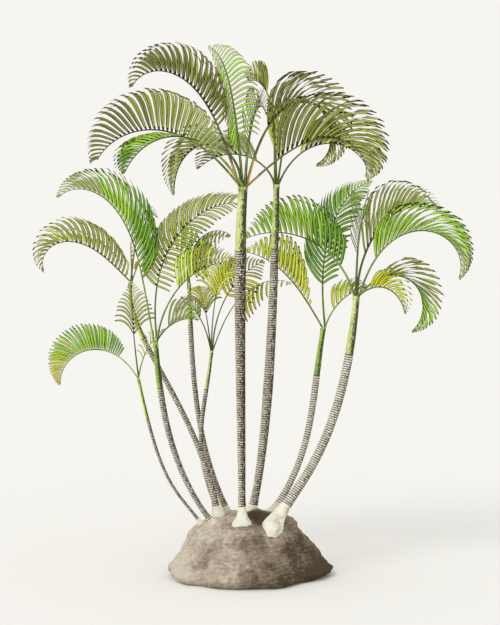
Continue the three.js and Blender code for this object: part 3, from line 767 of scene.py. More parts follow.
@dataclass
class Effects:
    """Shader effects that several finishes share, each a node group that is built once."""

    drift_contrast: float = 3.2
    streak_contrast: float = 5.0
    drift: bpy.types.NodeTree = field(init=False)
    relief: bpy.types.NodeTree = field(init=False)
    streaks: bpy.types.NodeTree = field(init=False)

    def __post_init__(self) -> None:
        """Builds the groups."""
        self.drift = self._drift()
        self.relief = self._relief()
        self.streaks = self._streaks_and_painted_shade()

    @staticmethod
    def _group(
        name: str, inputs: dict[str, object], outputs: dict[str, str]
    ) -> tuple[NodeSheet, Sockets, Sockets]:
        """Starts a group.

        Args:
            name: The group's name.
            inputs: Default value by input name: a number or a colour.
            outputs: Socket type by output name.

        Returns:
            The sheet of its nodes, what comes in and what goes out.
        """
        tree = bpy.data.node_groups.new(name, "ShaderNodeTree")
        for title, value in inputs.items():
            kind = "NodeSocketColor" if isinstance(value, tuple) else "NodeSocketFloat"
            tree.interface.new_socket(name=title, in_out="INPUT", socket_type=kind).default_value = value
        for title, kind in outputs.items():
            tree.interface.new_socket(name=title, in_out="OUTPUT", socket_type=kind)
        sheet = NodeSheet(tree)
        return sheet, sheet.node("NodeGroupInput").outputs, sheet.node("NodeGroupOutput").inputs

    def _drift(self) -> bpy.types.NodeTree:
        """Makes colour drift between a lighter and a darker shade over the surface.

        Returns:
            The group.
        """
        sheet, given, result = self._group(
            "tone_drift",
            {"Light": (0.5, 0.5, 0.5, 1), "Dark": (0.2, 0.2, 0.2, 1), "Scale": 4.0, "Balance": 0.5},
            {"Colour": "NodeSocketColor", "Mask": "NodeSocketFloat"},
        )
        place = sheet.node("ShaderNodeTexCoord").outputs["Object"]
        cloud = sheet.node("ShaderNodeTexNoise", {
            "Vector": place, "Scale": given["Scale"], "Detail": 5.0, "Roughness": 0.62,
        })
        shift = sheet.calc("SUBTRACT", cloud.outputs["Fac"], given["Balance"])
        mask = sheet.calc("MULTIPLY_ADD", shift, self.drift_contrast, 0.5, clamp=True)
        sheet.feed(sheet.mix(mask, given["Light"], given["Dark"]), result["Colour"])
        sheet.feed(mask, result["Mask"])
        return sheet.tree

    def _relief(self) -> bpy.types.NodeTree:
        """Makes the height of fine grain: soft waves with pits in them.

        Returns:
            The group.
        """
        sheet, given, result = self._group(
            "fine_relief", {"Scale": 60.0, "Pits": 0.5}, {"Height": "NodeSocketFloat"}
        )
        place = sheet.node("ShaderNodeTexCoord").outputs["Object"]
        spread = {"Vector": place, "Scale": given["Scale"]}
        grain = sheet.node("ShaderNodeTexNoise", {**spread, "Detail": 4.0, "Roughness": 0.6})
        cells = sheet.node("ShaderNodeTexVoronoi", spread)
        pits = sheet.calc("MULTIPLY", cells.outputs["Distance"], given["Pits"])
        sheet.feed(sheet.calc("ADD", grain.outputs["Fac"], pits), result["Height"])
        return sheet.tree

    def _streaks_and_painted_shade(self) -> bpy.types.NodeTree:
        """Makes a mask of long streaks that run up a stem, laid on its own map, thickened as painted shade on
        one side.

        Returns:
            The group.
        """
        sheet, given, result = self._group(
            "long_streaks", {"Count": 18.0, "Stretch": 0.6, "Edge": 0.5, "Painted shade": 0.2},
            {"Mask": "NodeSocketFloat"},
        )
        wrap = sheet.node("ShaderNodeUVMap", uv_map=WRAP).outputs["UV"]
        split = sheet.node("ShaderNodeSeparateXYZ", {0: wrap}).outputs
        turn = sheet.calc("MULTIPLY", split["X"], math.tau)
        around = sheet.node("ShaderNodeCombineXYZ", {
            "X": sheet.calc("SINE", turn), "Y": sheet.calc("COSINE", turn),
            "Z": sheet.calc("MULTIPLY", split["Y"], given["Stretch"]),
        })
        cloud = sheet.node("ShaderNodeTexNoise", {
            "Vector": around.outputs[0], "Scale": sheet.calc("DIVIDE", given["Count"], math.tau),
            "Detail": 3.0, "Roughness": 0.7,
        })
        # Painted shade: the streaks spread over the side that faces a fixed direction
        side = sheet.node("ShaderNodeAttribute", attribute_name=PAINTED_SHADE_SIDE).outputs["Fac"]
        streaks_and_painted_shade = sheet.calc("ADD", cloud.outputs["Fac"], sheet.calc("MULTIPLY", side, given["Painted shade"]))
        shift = sheet.calc("SUBTRACT", streaks_and_painted_shade, given["Edge"])
        mask = sheet.calc("MULTIPLY_ADD", shift, self.streak_contrast, 0.5, clamp=True)
        sheet.feed(mask, result["Mask"])
        return sheet.tree

    def carve(
        self, sheet: NodeSheet, shader: bpy.types.Node, grain: float, pits: float, bump: float, depth: float
    ) -> None:
        """Gives a shader the fine relief.

        Args:
            sheet: The sheet of the material's nodes.
            shader: The shader.
            grain: How fine the grain is.
            pits: How deep its pits are.
            bump: How strongly it shows.
            depth: Its depth in metres.
        """
        relief = sheet.node("ShaderNodeGroup", {"Scale": grain, "Pits": pits}, node_tree=self.relief)
        sheet.bump(relief.outputs["Height"], bump, depth, shader)


@dataclass(frozen=True)
class Finish:
    """A finish of two shades that drift into each other, with grain in its relief and gloss, and, where it is
    given a streak colour, dark streaks that also paint shade on one side.
    """

    name: str
    light: Colour
    dark: Colour
    scale: float = 4.0
    balance: float = 0.5
    roughness: tuple[float, float] = (0.45, 0.6)
    grain: float = 80.0
    pits: float = 0.3
    bump: float = 0.15
    depth: float = 0.001
    # Streak colour: real streaks, and painted shade where the streaks spread over one side
    streak_and_shade: Colour | None = None
    streak_count: float = 18.0
    streak_edge: float = 0.55
    streak_stretch: float = 0.6
    streak_painted_shade: float = 0.2
    specular: float = 0.35

    def make(self, effects: Effects) -> bpy.types.Material:
        """Makes the material.

        Args:
            effects: The shared shader effects.

        Returns:
            The material.
        """
        material, sheet, shader = blank(self.name, self.light, self.specular)
        drift = sheet.node("ShaderNodeGroup", {
            "Light": (*self.light, 1), "Dark": (*self.dark, 1), "Scale": self.scale, "Balance": self.balance,
        }, node_tree=effects.drift).outputs
        colour = drift["Colour"]
        # Dark streaks, spread over one side as painted shade
        if self.streak_and_shade is not None:
            streaks = sheet.node("ShaderNodeGroup", {
                "Count": self.streak_count, "Edge": self.streak_edge, "Stretch": self.streak_stretch,
                "Painted shade": self.streak_painted_shade,
            }, node_tree=effects.streaks)
            colour = sheet.mix(streaks.outputs["Mask"], colour, (*self.streak_and_shade, 1))
        sheet.feed(colour, shader.inputs["Base Color"])
        low, high = self.roughness
        gloss = sheet.node("ShaderNodeMapRange", {"Value": drift["Mask"], "To Min": low, "To Max": high})
        sheet.feed(gloss.outputs[0], shader.inputs["Roughness"])
        effects.carve(sheet, shader, self.grain, self.pits, self.bump, self.depth)
        return material


def shaded(colour: Colour, factor: float) -> Colour:
    """The same colour, brighter or darker by a factor."""
    return tuple(min(1.0, channel * factor) for channel in colour)


# Each tone: the blade's colour, and the dark colour that paints shade on the leaflets' edges and feet and
# darkens their tips
BLADES: dict[Tone, tuple[Colour, Colour]] = {
    Tone.DARK_OLIVE: (linear(132, 134, 66), linear(46, 46, 18)),
    Tone.OLIVE: (linear(160, 168, 72), linear(62, 62, 26)),
    Tone.PALE_OLIVE: (linear(184, 194, 122), linear(96, 98, 60)),
    Tone.BRIGHT_GREEN: (linear(166, 210, 66), linear(58, 72, 28)),
    Tone.DEEP_GREEN: (linear(122, 170, 52), linear(40, 58, 20)),
    Tone.YELLOW_GREEN: (linear(224, 242, 92), linear(104, 110, 42)),
    Tone.YELLOW: (linear(204, 206, 42), linear(80, 72, 20)),
}
STALKS: dict[Stalk, Colour] = {
    Stalk.GOLD: linear(204, 162, 84),
    Stalk.GREEN: linear(140, 170, 70),
    Stalk.OLIVE: linear(120, 124, 60),
}
RIB_SLOTS: dict[Stalk, str] = {
    Stalk.GOLD: "leaf_yellow",
    Stalk.GREEN: "leaf_yellow_green",
    Stalk.OLIVE: "leaf_olive",
}
# Dark rim of the stalks: painted shade along the groove's edges and the underside
RIM_SHADE: Colour = linear(42, 42, 18)
WAXES: dict[Wax, Colour] = {
    Wax.PALE: linear(210, 220, 142),
    Wax.LIME: linear(190, 216, 70),
    Wax.GREEN: linear(160, 190, 84),
    Wax.STRAW: linear(214, 218, 130),
}
# Bark: dark fissure streaks, which also paint shade on one side of each cane
BARKS: dict[Bark, Finish] = {
    age: Finish(
        f"bark_{age.value}", linear(*light), linear(*dark), scale=14, roughness=(0.75, 0.9), grain=160,
        pits=0.6, bump=0.5, depth=0.002, streak_and_shade=linear(54, 45, 34), streak_count=20, streak_edge=edge,
        streak_stretch=0.3, streak_painted_shade=0.16, specular=0.15,
    )
    for age, light, dark, edge in (
        (Bark.AGED, (240, 234, 216), (190, 178, 154), 0.54),
        (Bark.GREY, (240, 235, 220), (196, 187, 166), 0.575),
        (Bark.PALE, (240, 236, 224), (208, 200, 182), 0.645),
    )
}
# Dark ring: the ring scar, darkened as painted shade for the recess below each joint's bulge
SCAR_AND_RECESS_SHADE = Finish(
    "ring_scar", linear(62, 54, 41), linear(30, 25, 18), scale=20, roughness=(0.75, 0.9), grain=200,
    pits=0.4, bump=0.3, specular=0.15,
)
# Root flare: grey streaks, which also paint shade on one side of the flare
BONE = Finish(
    "root_flare", linear(240, 238, 222), linear(206, 198, 178), scale=9, balance=0.6, roughness=(0.65, 0.85),
    grain=90, pits=0.5, bump=0.5, depth=0.003, streak_and_shade=linear(150, 136, 114), streak_count=16,
    streak_edge=0.72, streak_stretch=0.12, streak_painted_shade=0.14, specular=0.15,
)
HUSK = Finish(
    "husk_edge", linear(112, 96, 66), linear(52, 42, 28), scale=24, roughness=(0.6, 0.8), grain=120,
    pits=0.5, bump=0.4, specular=0.15,
)


@dataclass(frozen=True)
class EarthFinish:
    """Earth of the root ball, blotched, with painted shade: pale to the upper left, dark to the right and in
    its hollow.

    The painted shade grows along its axis, over a stretch that is given by its middle and half its width in
    metres, and stops are the shades at which the earth is pale and dark. Blotch and speck are how strong the
    blots and the fine strokes in it are, and stroke is how those are stretched. Hollow reach is how far from
    the hollow's middle its painted shade starts and is full, in metres.
    """

    # Ramp colours from lit to shaded earth, picked by the painted shade and the blots
    pale: Colour = linear(206, 196, 178)
    middle: Colour = linear(150, 136, 118)
    dark: Colour = linear(82, 70, 54)
    stops: tuple[float, float] = (0.05, 0.95)
    shade_axis: Point = (0.95, 0.1, -0.55)
    shade_middle: float = -0.16
    shade_width: float = 0.62
    blotch_scale: float = 4.2
    blotch: float = 0.85
    stroke: Point = (0.7, 0.7, 2.2)
    stroke_scale: float = 30.0
    speck: float = 0.75
    hollow: Point = (0.075, -0.13, 0.5)
    hollow_reach: tuple[float, float] = (0.195, 0.065)
    hollow_painted_shade: float = 0.7
    roughness: tuple[float, float] = (0.85, 1.0)
    specular: float = 0.1
    grain: float = 34
    pits: float = 0.9
    bump: float = 0.9
    depth: float = 0.01

    def make(self, effects: Effects) -> bpy.types.Material:
        """Makes the material.

        Args:
            effects: The shared shader effects.

        Returns:
            The material.
        """
        material, sheet, shader = blank("earth", self.middle, self.specular)
        shade = self._shade(sheet, sheet.node("ShaderNodeTexCoord").outputs["Object"])
        ramp = sheet.node("ShaderNodeValToRGB", {"Fac": shade})
        stops = ramp.color_ramp.elements
        for stop, colour, position in zip(stops, (self.pale, self.dark), self.stops):
            stop.color = (*colour, 1)
            stop.position = position
        stops.new(0.5).color = (*self.middle, 1)
        sheet.feed(ramp.outputs["Color"], shader.inputs["Base Color"])
        low, high = self.roughness
        gloss = sheet.node("ShaderNodeMapRange", {"Value": shade, "To Min": low, "To Max": high})
        sheet.feed(gloss.outputs[0], shader.inputs["Roughness"])
        effects.carve(sheet, shader, self.grain, self.pits, self.bump, self.depth)
        return material

    def _shade(self, sheet: NodeSheet, place: Socket) -> Socket:
        """Works out the mask from pale, 0, to dark, 1: painted shade by side and in the hollow, with blots and
        strokes.

        Args:
            sheet: The sheet of the material's nodes.
            place: Where the surface is.

        Returns:
            The mask.
        """
        # Painted shade: darker to the right and lower down, paler to the upper left
        side = sheet.node("ShaderNodeVectorMath", {0: place, 1: self.shade_axis}, operation="DOT_PRODUCT")
        slope = sheet.node("ShaderNodeMapRange", {
            "Value": side.outputs["Value"], "From Min": self.shade_middle - self.shade_width,
            "From Max": self.shade_middle + self.shade_width,
        }, clamp=False)
        blots = sheet.node("ShaderNodeTexNoise", {
            "Vector": place, "Scale": self.blotch_scale, "Detail": 6.0, "Roughness": 0.62, "Distortion": 0.4,
        })
        stretched = sheet.node("ShaderNodeVectorMath", {0: place, 1: self.stroke}, operation="MULTIPLY")
        specks = sheet.node("ShaderNodeTexNoise", {
            "Vector": stretched.outputs[0], "Scale": self.stroke_scale, "Detail": 6.0, "Roughness": 0.78,
        })
        # Painted shade in the hollow
        away = sheet.node("ShaderNodeVectorMath", {0: place, 1: self.hollow}, operation="DISTANCE")
        rim, floor = self.hollow_reach
        hollow_shade = sheet.node("ShaderNodeMapRange", {
            "Value": away.outputs["Value"], "From Min": rim, "From Max": floor, "To Max": self.hollow_painted_shade,
        }, interpolation_type="SMOOTHSTEP")
        mask = slope.outputs[0]
        for noise, strength in ((blots, self.blotch), (specks, self.speck)):
            spots = sheet.calc("MULTIPLY_ADD", noise.outputs["Fac"], strength * 2, -strength)
            mask = sheet.calc("ADD", mask, spots)
        return sheet.calc("ADD", mask, hollow_shade.outputs[0])


class Palette:
    """Every material of the clump, made once."""

    def __init__(self) -> None:
        """Makes the materials."""
        effects = Effects()
        self.blade = {
            tone: Finish(
                f"leaf_{tone.value}", shaded(colour, 1.3), shaded(colour, 0.94), scale=7,
                roughness=(0.4, 0.55), grain=220, pits=0.2, bump=0.12, depth=0.0006, specular=0.25,
            ).make(effects)
            for tone, (colour, _) in BLADES.items()
        }
        # Painted shade on the leaflets' edges and feet, and dark tips
        self.margin = {
            tone: Finish(
                f"leaf_edge_{tone.value}", shaded(colour, 0.7), shaded(colour, 0.4), scale=9,
                roughness=(0.45, 0.6), grain=220, pits=0.2, bump=0.12, depth=0.0006, specular=0.15,
            ).make(effects)
            for tone, (_, colour) in BLADES.items()
        }
        # Painted shade on the stalks' rims
        rim = Finish(
            "stalk_rim", shaded(RIM_SHADE, 1.3), shaded(RIM_SHADE, 0.7), scale=12, roughness=(0.5, 0.6), grain=140,
            pits=0.2,
        ).make(effects)
        petioles = {
            stalk: Finish(
                f"petiole_{stalk.value}", shaded(colour, 1.15), shaded(colour, 0.42), scale=12,
                balance=0.55, roughness=(0.35, 0.5), grain=140, pits=0.2,
            ).make(effects)
            for stalk, colour in STALKS.items()
        }
        ribs = {**petioles, Stalk.GOLD: petioles[Stalk.OLIVE]}
        self.stalk = {stalk: (petioles[stalk], ribs[stalk], rim) for stalk in Stalk}
        # Crownshafts: near-black streaks, spread over one side as painted shade
        self.wax = {
            wax: Finish(
                f"wax_{wax.value}", shaded(colour, 1.32), shaded(colour, 0.74), scale=7, balance=0.52,
                roughness=(0.35, 0.5), grain=90, pits=0.1, bump=0.12, streak_and_shade=shaded(colour, 0.06),
                streak_count=30, streak_edge=0.61, streak_stretch=5, streak_painted_shade=0.34,
            ).make(effects)
            for wax, colour in WAXES.items()
        }
        self.bark = {age: finish.make(effects) for age, finish in BARKS.items()}
        self.scar_and_shade = SCAR_AND_RECESS_SHADE.make(effects)
        self.bone = BONE.make(effects)
        self.husk = HUSK.make(effects)
        self.earth = EarthFinish().make(effects)


# Modelling


class Bench:
    """Short calls round Blender's modelling operators."""

    @staticmethod
    def clear() -> None:
        """Leaves edit mode and selects nothing."""
        if bpy.context.object is not None and bpy.context.object.mode != "OBJECT":
            bpy.ops.object.mode_set(mode="OBJECT")
        bpy.ops.object.select_all(action="DESELECT")

    @staticmethod
    def circle(name: str, sides: int, radius: float = 1) -> bpy.types.Object:
        """Adds a level ring at the origin, from which a piece is extruded.

        Args:
            name: Name of the piece.
            sides: How many edges the ring has.
            radius: Its radius.

        Returns:
            The piece.
        """
        Bench.clear()
        bpy.ops.mesh.primitive_circle_add(vertices=sides, radius=radius, location=(0, 0, 0))
        piece = bpy.context.object
        piece.name = piece.data.name = name
        return piece

    @staticmethod
    def pick(piece: bpy.types.Object) -> None:
        """Selects one object alone and makes it the active one.

        Args:
            piece: The object.
        """
        Bench.clear()
        piece.select_set(True)
        bpy.context.view_layer.objects.active = piece

    @staticmethod
    @contextmanager
    def editing(piece: bpy.types.Object) -> Iterator[None]:
        """Keeps one object in edit mode, with nothing else selected.

        Args:
            piece: The object.
        """
        Bench.pick(piece)
        bpy.ops.object.mode_set(mode="EDIT")
        bpy.ops.mesh.select_mode(type="EDGE")
        yield
        bpy.ops.object.mode_set(mode="OBJECT")

    @staticmethod
    def select_edges(piece: bpy.types.Object, test: Callable[[Vector], bool]) -> None:
        """Selects edges of the mesh in edit mode.

        Args:
            piece: The object.
            test: Whether an edge is wanted, by its middle.
        """
        bpy.ops.mesh.select_mode(type="EDGE")
        bpy.ops.mesh.select_all(action="DESELECT")
        sheet = bmesh.from_edit_mesh(piece.data)
        for edge in sheet.edges:
            edge.select_set(test((edge.verts[0].co + edge.verts[1].co) / 2))
        bmesh.update_edit_mesh(piece.data)

    @staticmethod
    def select_faces(piece: bpy.types.Object, test: Callable[[Vector, Vector], bool]) -> None:
        """Selects faces of the mesh in edit mode.

        Args:
            piece: The object.
            test: Whether a face is wanted, by its middle and its normal.
        """
        bpy.ops.mesh.select_mode(type="FACE")
        bpy.ops.mesh.select_all(action="DESELECT")
        sheet = bmesh.from_edit_mesh(piece.data)
        for face in sheet.faces:
            face.select_set(test(face.calc_center_median(), face.normal))
        bmesh.update_edit_mesh(piece.data)

    @staticmethod
    def extrude(step: float, scale: float) -> None:
        """Extrudes the selection upwards, and scales what it brings out about the upright axis."""
        bpy.ops.mesh.extrude_region_move(TRANSFORM_OT_translate={"value": (0, 0, step)})
        bpy.ops.transform.resize(value=(scale, scale, 1), center_override=(0, 0, 0))

    @staticmethod
    def turn_outwards() -> None:
        """Makes every face of the mesh in edit mode point outwards."""
        bpy.ops.mesh.select_all(action="SELECT")
        bpy.ops.mesh.normals_make_consistent(inside=False)

    @staticmethod
    def apply(piece: bpy.types.Object, kind: str, **settings: object) -> None:
        """Adds a modifier to an object and applies it.

        Args:
            piece: The object.
            kind: Modifier type.
            settings: Its settings.
        """
        Bench.pick(piece)
        modifier = piece.modifiers.new(kind.lower(), kind)
        for name, value in settings.items():
            setattr(modifier, name, value)
        bpy.ops.object.modifier_apply(modifier=modifier.name)

    @staticmethod
    def roughen(piece: bpy.types.Object, name: str, form: tuple[float, float], **settings: object) -> None:
        """Pushes a surface in and out by soft clouds.

        Args:
            piece: The object.
            name: Name of the clouds.
            form: Size of the clouds, and how far they push from end to end, in metres.
            settings: More settings of the Displace modifier.
        """
        clouds = bpy.data.textures.new(name, "CLOUDS")
        clouds.noise_scale, strength = form
        clouds.noise_depth = 2
        Bench.apply(piece, "DISPLACE", texture=clouds, strength=strength, mid_level=0.5,
                    texture_coords="LOCAL", **settings)

    @staticmethod
    def weigh(piece: bpy.types.Object, name: str, weight: Callable[[float], float]) -> None:
        """Marks how far each point may be pushed.

        Args:
            piece: The object.
            name: Name of the marks.
            weight: The share of the push by height in metres, which is kept between 0 and 1.
        """
        group = piece.vertex_groups.new(name=name)
        for vertex in piece.data.vertices:
            group.add([vertex.index], min(1.0, max(0.0, weight(vertex.co.z))), "REPLACE")

    @staticmethod
    def bend(piece: bpy.types.Object, rail: bpy.types.Object) -> None:
        """Bends an upright piece along a rail, and takes the rail away."""
        Bench.apply(piece, "CURVE", object=rail, deform_axis="POS_Z")
        bpy.data.objects.remove(rail)

    @staticmethod
    def smooth(piece: bpy.types.Object, angle: float) -> None:
        """Shades a piece smooth up to an angle between faces, in degrees."""
        Bench.pick(piece)
        bpy.ops.object.shade_smooth_by_angle(angle=math.radians(angle))

    @staticmethod
    def place(piece: bpy.types.Object, slot: str, nodes: Sequence[str] = ()) -> bpy.types.Object:
        """Rides a piece on the plant and hides the solids that it stands for.

        Args:
            piece: The piece.
            slot: Its material slot; not used.
            nodes: The solids that it replaces.

        Returns:
            The piece.
        """
        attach(piece, "root")
        if nodes:
            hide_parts(*nodes)
        return piece


def wrap_map(piece: bpy.types.Object, pitch: float) -> None:
    """Gives an upright round mesh a map: once round in u, and one unit a pitch in v.

    Args:
        piece: The object, still straight.
        pitch: Height of one unit of v, in metres.
    """
    mesh = piece.data
    layer = mesh.uv_layers.new(name=WRAP)
    corners = np.zeros(len(mesh.loops), int)
    mesh.loops.foreach_get("vertex_index", corners)
    places = np.zeros(len(mesh.vertices) * 3)
    mesh.vertices.foreach_get("co", places)
    places = places.reshape(-1, 3)[corners]
    around = np.arctan2(places[:, 1], places[:, 0]) / math.tau % 1.0
    for face in mesh.polygons:
        loops = slice(face.loop_start, face.loop_start + face.loop_total)
        turn = around[loops]
        if turn.max() - turn.min() > 0.5:
            around[loops] = np.where(turn < 0.5, turn + 1, turn)
    values = np.stack([around, places[:, 2] / pitch], -1)
    layer.data.foreach_set("uv", values.ravel())


def painted_shade_map(piece: bpy.types.Object, side: Point = (0.9, -0.34, -0.28)) -> None:
    """Notes at every point how far it faces the side that is painted in shade, from -1 to 1.

    Args:
        piece: The object, bent to its place.
        side: Direction of the side that is painted in shade.
    """
    mesh = piece.data
    normals = np.zeros(len(mesh.vertices) * 3, np.float32)
    mesh.vertex_normals.foreach_get("vector", normals)
    facing = normals.reshape(-1, 3) @ unit(np.array(side, np.float32))
    layer = mesh.attributes.new(PAINTED_SHADE_SIDE, "FLOAT", "POINT")
    layer.data.foreach_set("value", facing.astype(np.float32))


def guide(
    path: Path, first: float, last: float, radius: Callable[[float], float], stations: int = 90
) -> bpy.types.Object:
    """Makes the curve that bends a straight unit stem and gives it its girth.

    Args:
        path: The axis in millimetres.
        first: Share of the axis where the stem starts.
        last: Share of the axis where it ends.
        radius: Radius in millimetres by the share of the stretch.
        stations: How many points the curve has.

    Returns:
        The curve object.
    """
    curve = bpy.data.curves.new("rail", "CURVE")
    curve.dimensions = "3D"
    curve.twist_mode = "MINIMUM"
    spline = curve.splines.new("POLY")
    spline.points.add(stations - 1)
    for point, share in zip(spline.points, np.linspace(0, 1, stations)):
        point.co = (*(path.at(lerp(first, last, share)) * MM), 1)
        point.radius = radius(float(share)) * MM
    rail = bpy.data.objects.new("rail", curve)
    bpy.context.scene.collection.objects.link(rail)
    return rail


@dataclass
class CaneStem:
    """A cane: a pole of ringed joints over a smooth root flare, bent and tapered along the cane's axis.

    Ring pitch is in millimetres. Joint holds the height and girth of each ring of a joint, in shares of the
    pitch and of the cane, and scar share how much of it, from its foot, takes the dark ring: the scar, with
    painted shade in the recess below the joint's bulge. Gnarl is the size of the clouds that roughen
    the flare and how far they push, and gnarl fade the height over which that sets in, all in metres.
    """

    cane: Cane
    growth: Growth
    palette: Palette
    sides: int = 24
    ring_pitch: float = 20
    joint: tuple[tuple[float, float], ...] = (
        (0.14, 0.99), (0.3, 1.05), (0.45, 1.06), (0.75, 1.03), (1.0, 1.0),
    )
    scar_and_shade_share: float = 0.3
    flare_steps: int = 14
    gnarl: tuple[float, float] = (0.035, 0.006)
    gnarl_fade: float = 0.08
    shade_angle: float = 50

    def build(self) -> bpy.types.Object:
        """Models the cane and lets it stand for its solid.

        Returns:
            The cane.
        """
        cane, path = self.cane, self.cane.path(self.growth.ball)
        last = 1 - cane.shaft / path.length
        whole = last * path.length
        smooth = cane.sink + cane.bone
        rings = round((whole - smooth) / self.ring_pitch)
        pitch = (whole - smooth) / rings * MM
        piece = self._pole(rings, pitch, smooth * MM)
        wrap_map(piece, pitch)
        self._dress(piece, pitch, smooth * MM)
        rail = guide(path, 0, last, lambda share: cane.radius(share, share * whole - cane.sink))
        Bench.bend(piece, rail)
        self._gnarl(piece, path.at(smooth / whole)[2] * MM)
        # Marks the side of the cane that the streaks darken as painted shade
        painted_shade_map(piece)
        Bench.smooth(piece, self.shade_angle)
        return Bench.place(piece, "cane_bark", [f"cane_{cane.number}"])

    def _pole(self, rings: int, pitch: float, smooth: float) -> bpy.types.Object:
        """Models a straight pole of unit radius.

        Args:
            rings: How many joints it has.
            pitch: Height of a joint, in metres.
            smooth: Height of the smooth foot under them, in metres.

        Returns:
            The pole.
        """
        piece = Bench.circle(f"cane_{self.cane.number}_bark", self.sides)
        with Bench.editing(piece):
            bpy.ops.mesh.select_all(action="SELECT")
            height, swell = 0.0, 1.0
            for rise, size in self.joint:
                Bench.extrude((rise - height) * pitch, size / swell)
                height, swell = rise, size
        Bench.apply(piece, "ARRAY", count=rings, use_relative_offset=False, use_constant_offset=True,
                    constant_offset_displace=(0, 0, pitch), use_merge_vertices=True, merge_threshold=1e-4)
        with Bench.editing(piece):
            Bench.select_edges(piece, lambda middle: abs(middle.z) < LEVEL)
            for _ in range(self.flare_steps):
                Bench.extrude(-smooth / self.flare_steps, 1)
            bpy.ops.mesh.edge_face_add()
            Bench.select_edges(piece, lambda middle: middle.z > rings * pitch - LEVEL)
            bpy.ops.mesh.edge_face_add()
            bpy.ops.mesh.select_all(action="SELECT")
            bpy.ops.transform.translate(value=(0, 0, smooth))
            Bench.turn_outwards()
        return piece

    def _gnarl(self, piece: bpy.types.Object, top: float) -> None:
        """Roughens the root flare, less and less on its way up the cane.

        Args:
            piece: The cane, bent to its place.
            top: Height at which it ends, in metres.
        """
        Bench.weigh(piece, "flare", lambda height: (top - height) / self.gnarl_fade)
        Bench.roughen(piece, f"gnarl_{self.cane.number}", self.gnarl, vertex_group="flare")
        piece.vertex_groups.clear()

    def _dress(self, piece: bpy.types.Object, pitch: float, smooth: float) -> None:
        """Gives the joints, their ring scars with painted shade in the recess below each bulge, and the foot
        their own materials.

        Args:
            piece: The pole, still straight.
            pitch: Height of a joint, in metres.
            smooth: Height of the smooth foot, in metres.
        """
        for material in (self.palette.bark[self.cane.bark], self.palette.scar_and_shade, self.palette.bone):
            piece.data.materials.append(material)
        for face in piece.data.polygons:
            above = face.center.z - smooth
            if above < 0:
                face.material_index = 2
            # The dark ring: scar, and painted shade in the recess below the bulge
            elif above / pitch % 1 < self.scar_and_shade_share:
                face.material_index = 1


@dataclass
class Crownshaft:
    """A crownshaft: a smooth swollen sleeve with raised sheath edges, bent along the top of the cane's axis.

    Husk is the height of the dark edge at its foot, in metres, and lip how much wider that is. Dish is how
    far the top is inset and sunk. Seams are the directions of the sheath edges, seam turn is how far they
    turn from one cane to the next, and winding how far they turn on their way up, all in radians.
    """

    cane: Cane
    growth: Growth
    palette: Palette
    sides: int = 32
    steps: int = 16
    husk: float = 0.009
    lip: float = 1.07
    dish: tuple[float, float] = (0.24, 0.02)
    seam_lift: float = 0.05
    seams: tuple[float, float] = (0, 2.6)
    seam_turn: float = 1.9
    winding: float = 0.7
    wall: tuple[float, float] = (0.9, 0.5)
    shade_angle: float = 40

    def build(self) -> bpy.types.Object:
        """Dresses and bends the sleeve and lets it stand for its solid.

        Returns:
            The crownshaft.
        """
        cane, path = self.cane, self.cane.path(self.growth.ball)
        height = cane.shaft * MM
        piece = self._sleeve(height)
        wrap_map(piece, height)
        piece.data.materials.append(self.palette.wax[cane.wax])
        piece.data.materials.append(self.palette.husk)
        for face in piece.data.polygons:
            face.material_index = int(face.center.z < self.husk)
        first = 1 - (cane.shaft - self.growth.clearance) / path.length
        Bench.bend(piece, guide(path, first, 1, cane.shaft_radius))
        # Marks the side of the crownshaft that the streaks darken as painted shade
        painted_shade_map(piece)
        Bench.smooth(piece, self.shade_angle)
        return Bench.place(piece, "shaft_wax", [f"crownshaft_{cane.number}"])

    def _sleeve(self, height: float) -> bpy.types.Object:
        """Models a straight sleeve of unit radius.

        Args:
            height: Its height in metres.

        Returns:
            The sleeve.
        """
        piece = Bench.circle(f"crownshaft_{self.cane.number}_wax", self.sides)
        inset, drop = self.dish
        with Bench.editing(piece):
            bpy.ops.mesh.select_all(action="SELECT")
            bpy.ops.mesh.edge_face_add()
            bpy.ops.mesh.select_all(action="SELECT")
            Bench.extrude(self.husk, self.lip)
            for step in range(self.steps):
                Bench.extrude((height - self.husk) / self.steps, 1 if step else 1 / self.lip)
            bpy.ops.mesh.inset(thickness=inset)
            bpy.ops.transform.translate(value=(0, 0, -drop))
            for seam in self.seams:
                turn = (self.cane.number * self.seam_turn + seam) % math.tau
                Bench.select_faces(piece, lambda middle, normal: self._on_seam(middle, normal, turn, height))
                lift = {"value": self.seam_lift}
                bpy.ops.mesh.extrude_region_shrink_fatten(TRANSFORM_OT_shrink_fatten=lift)
            Bench.turn_outwards()
        return piece

    def _on_seam(self, middle: Vector, normal: Vector, seam: float, height: float) -> bool:
        """Tells whether a face lies on a sheath's edge, which winds a little on its way up.

        Args:
            middle: The face's middle.
            normal: Its direction.
            seam: Direction of the edge at the foot, in radians.
            height: Height of the sleeve in metres.

        Returns:
            Whether it does.
        """
        radius, slope = self.wall
        if abs(normal.z) > slope or middle.xy.length < radius:
            return False
        turn = math.atan2(middle.y, middle.x) - seam - self.winding * middle.z / height
        return abs((turn + math.pi) % math.tau - math.pi) < math.pi / self.sides


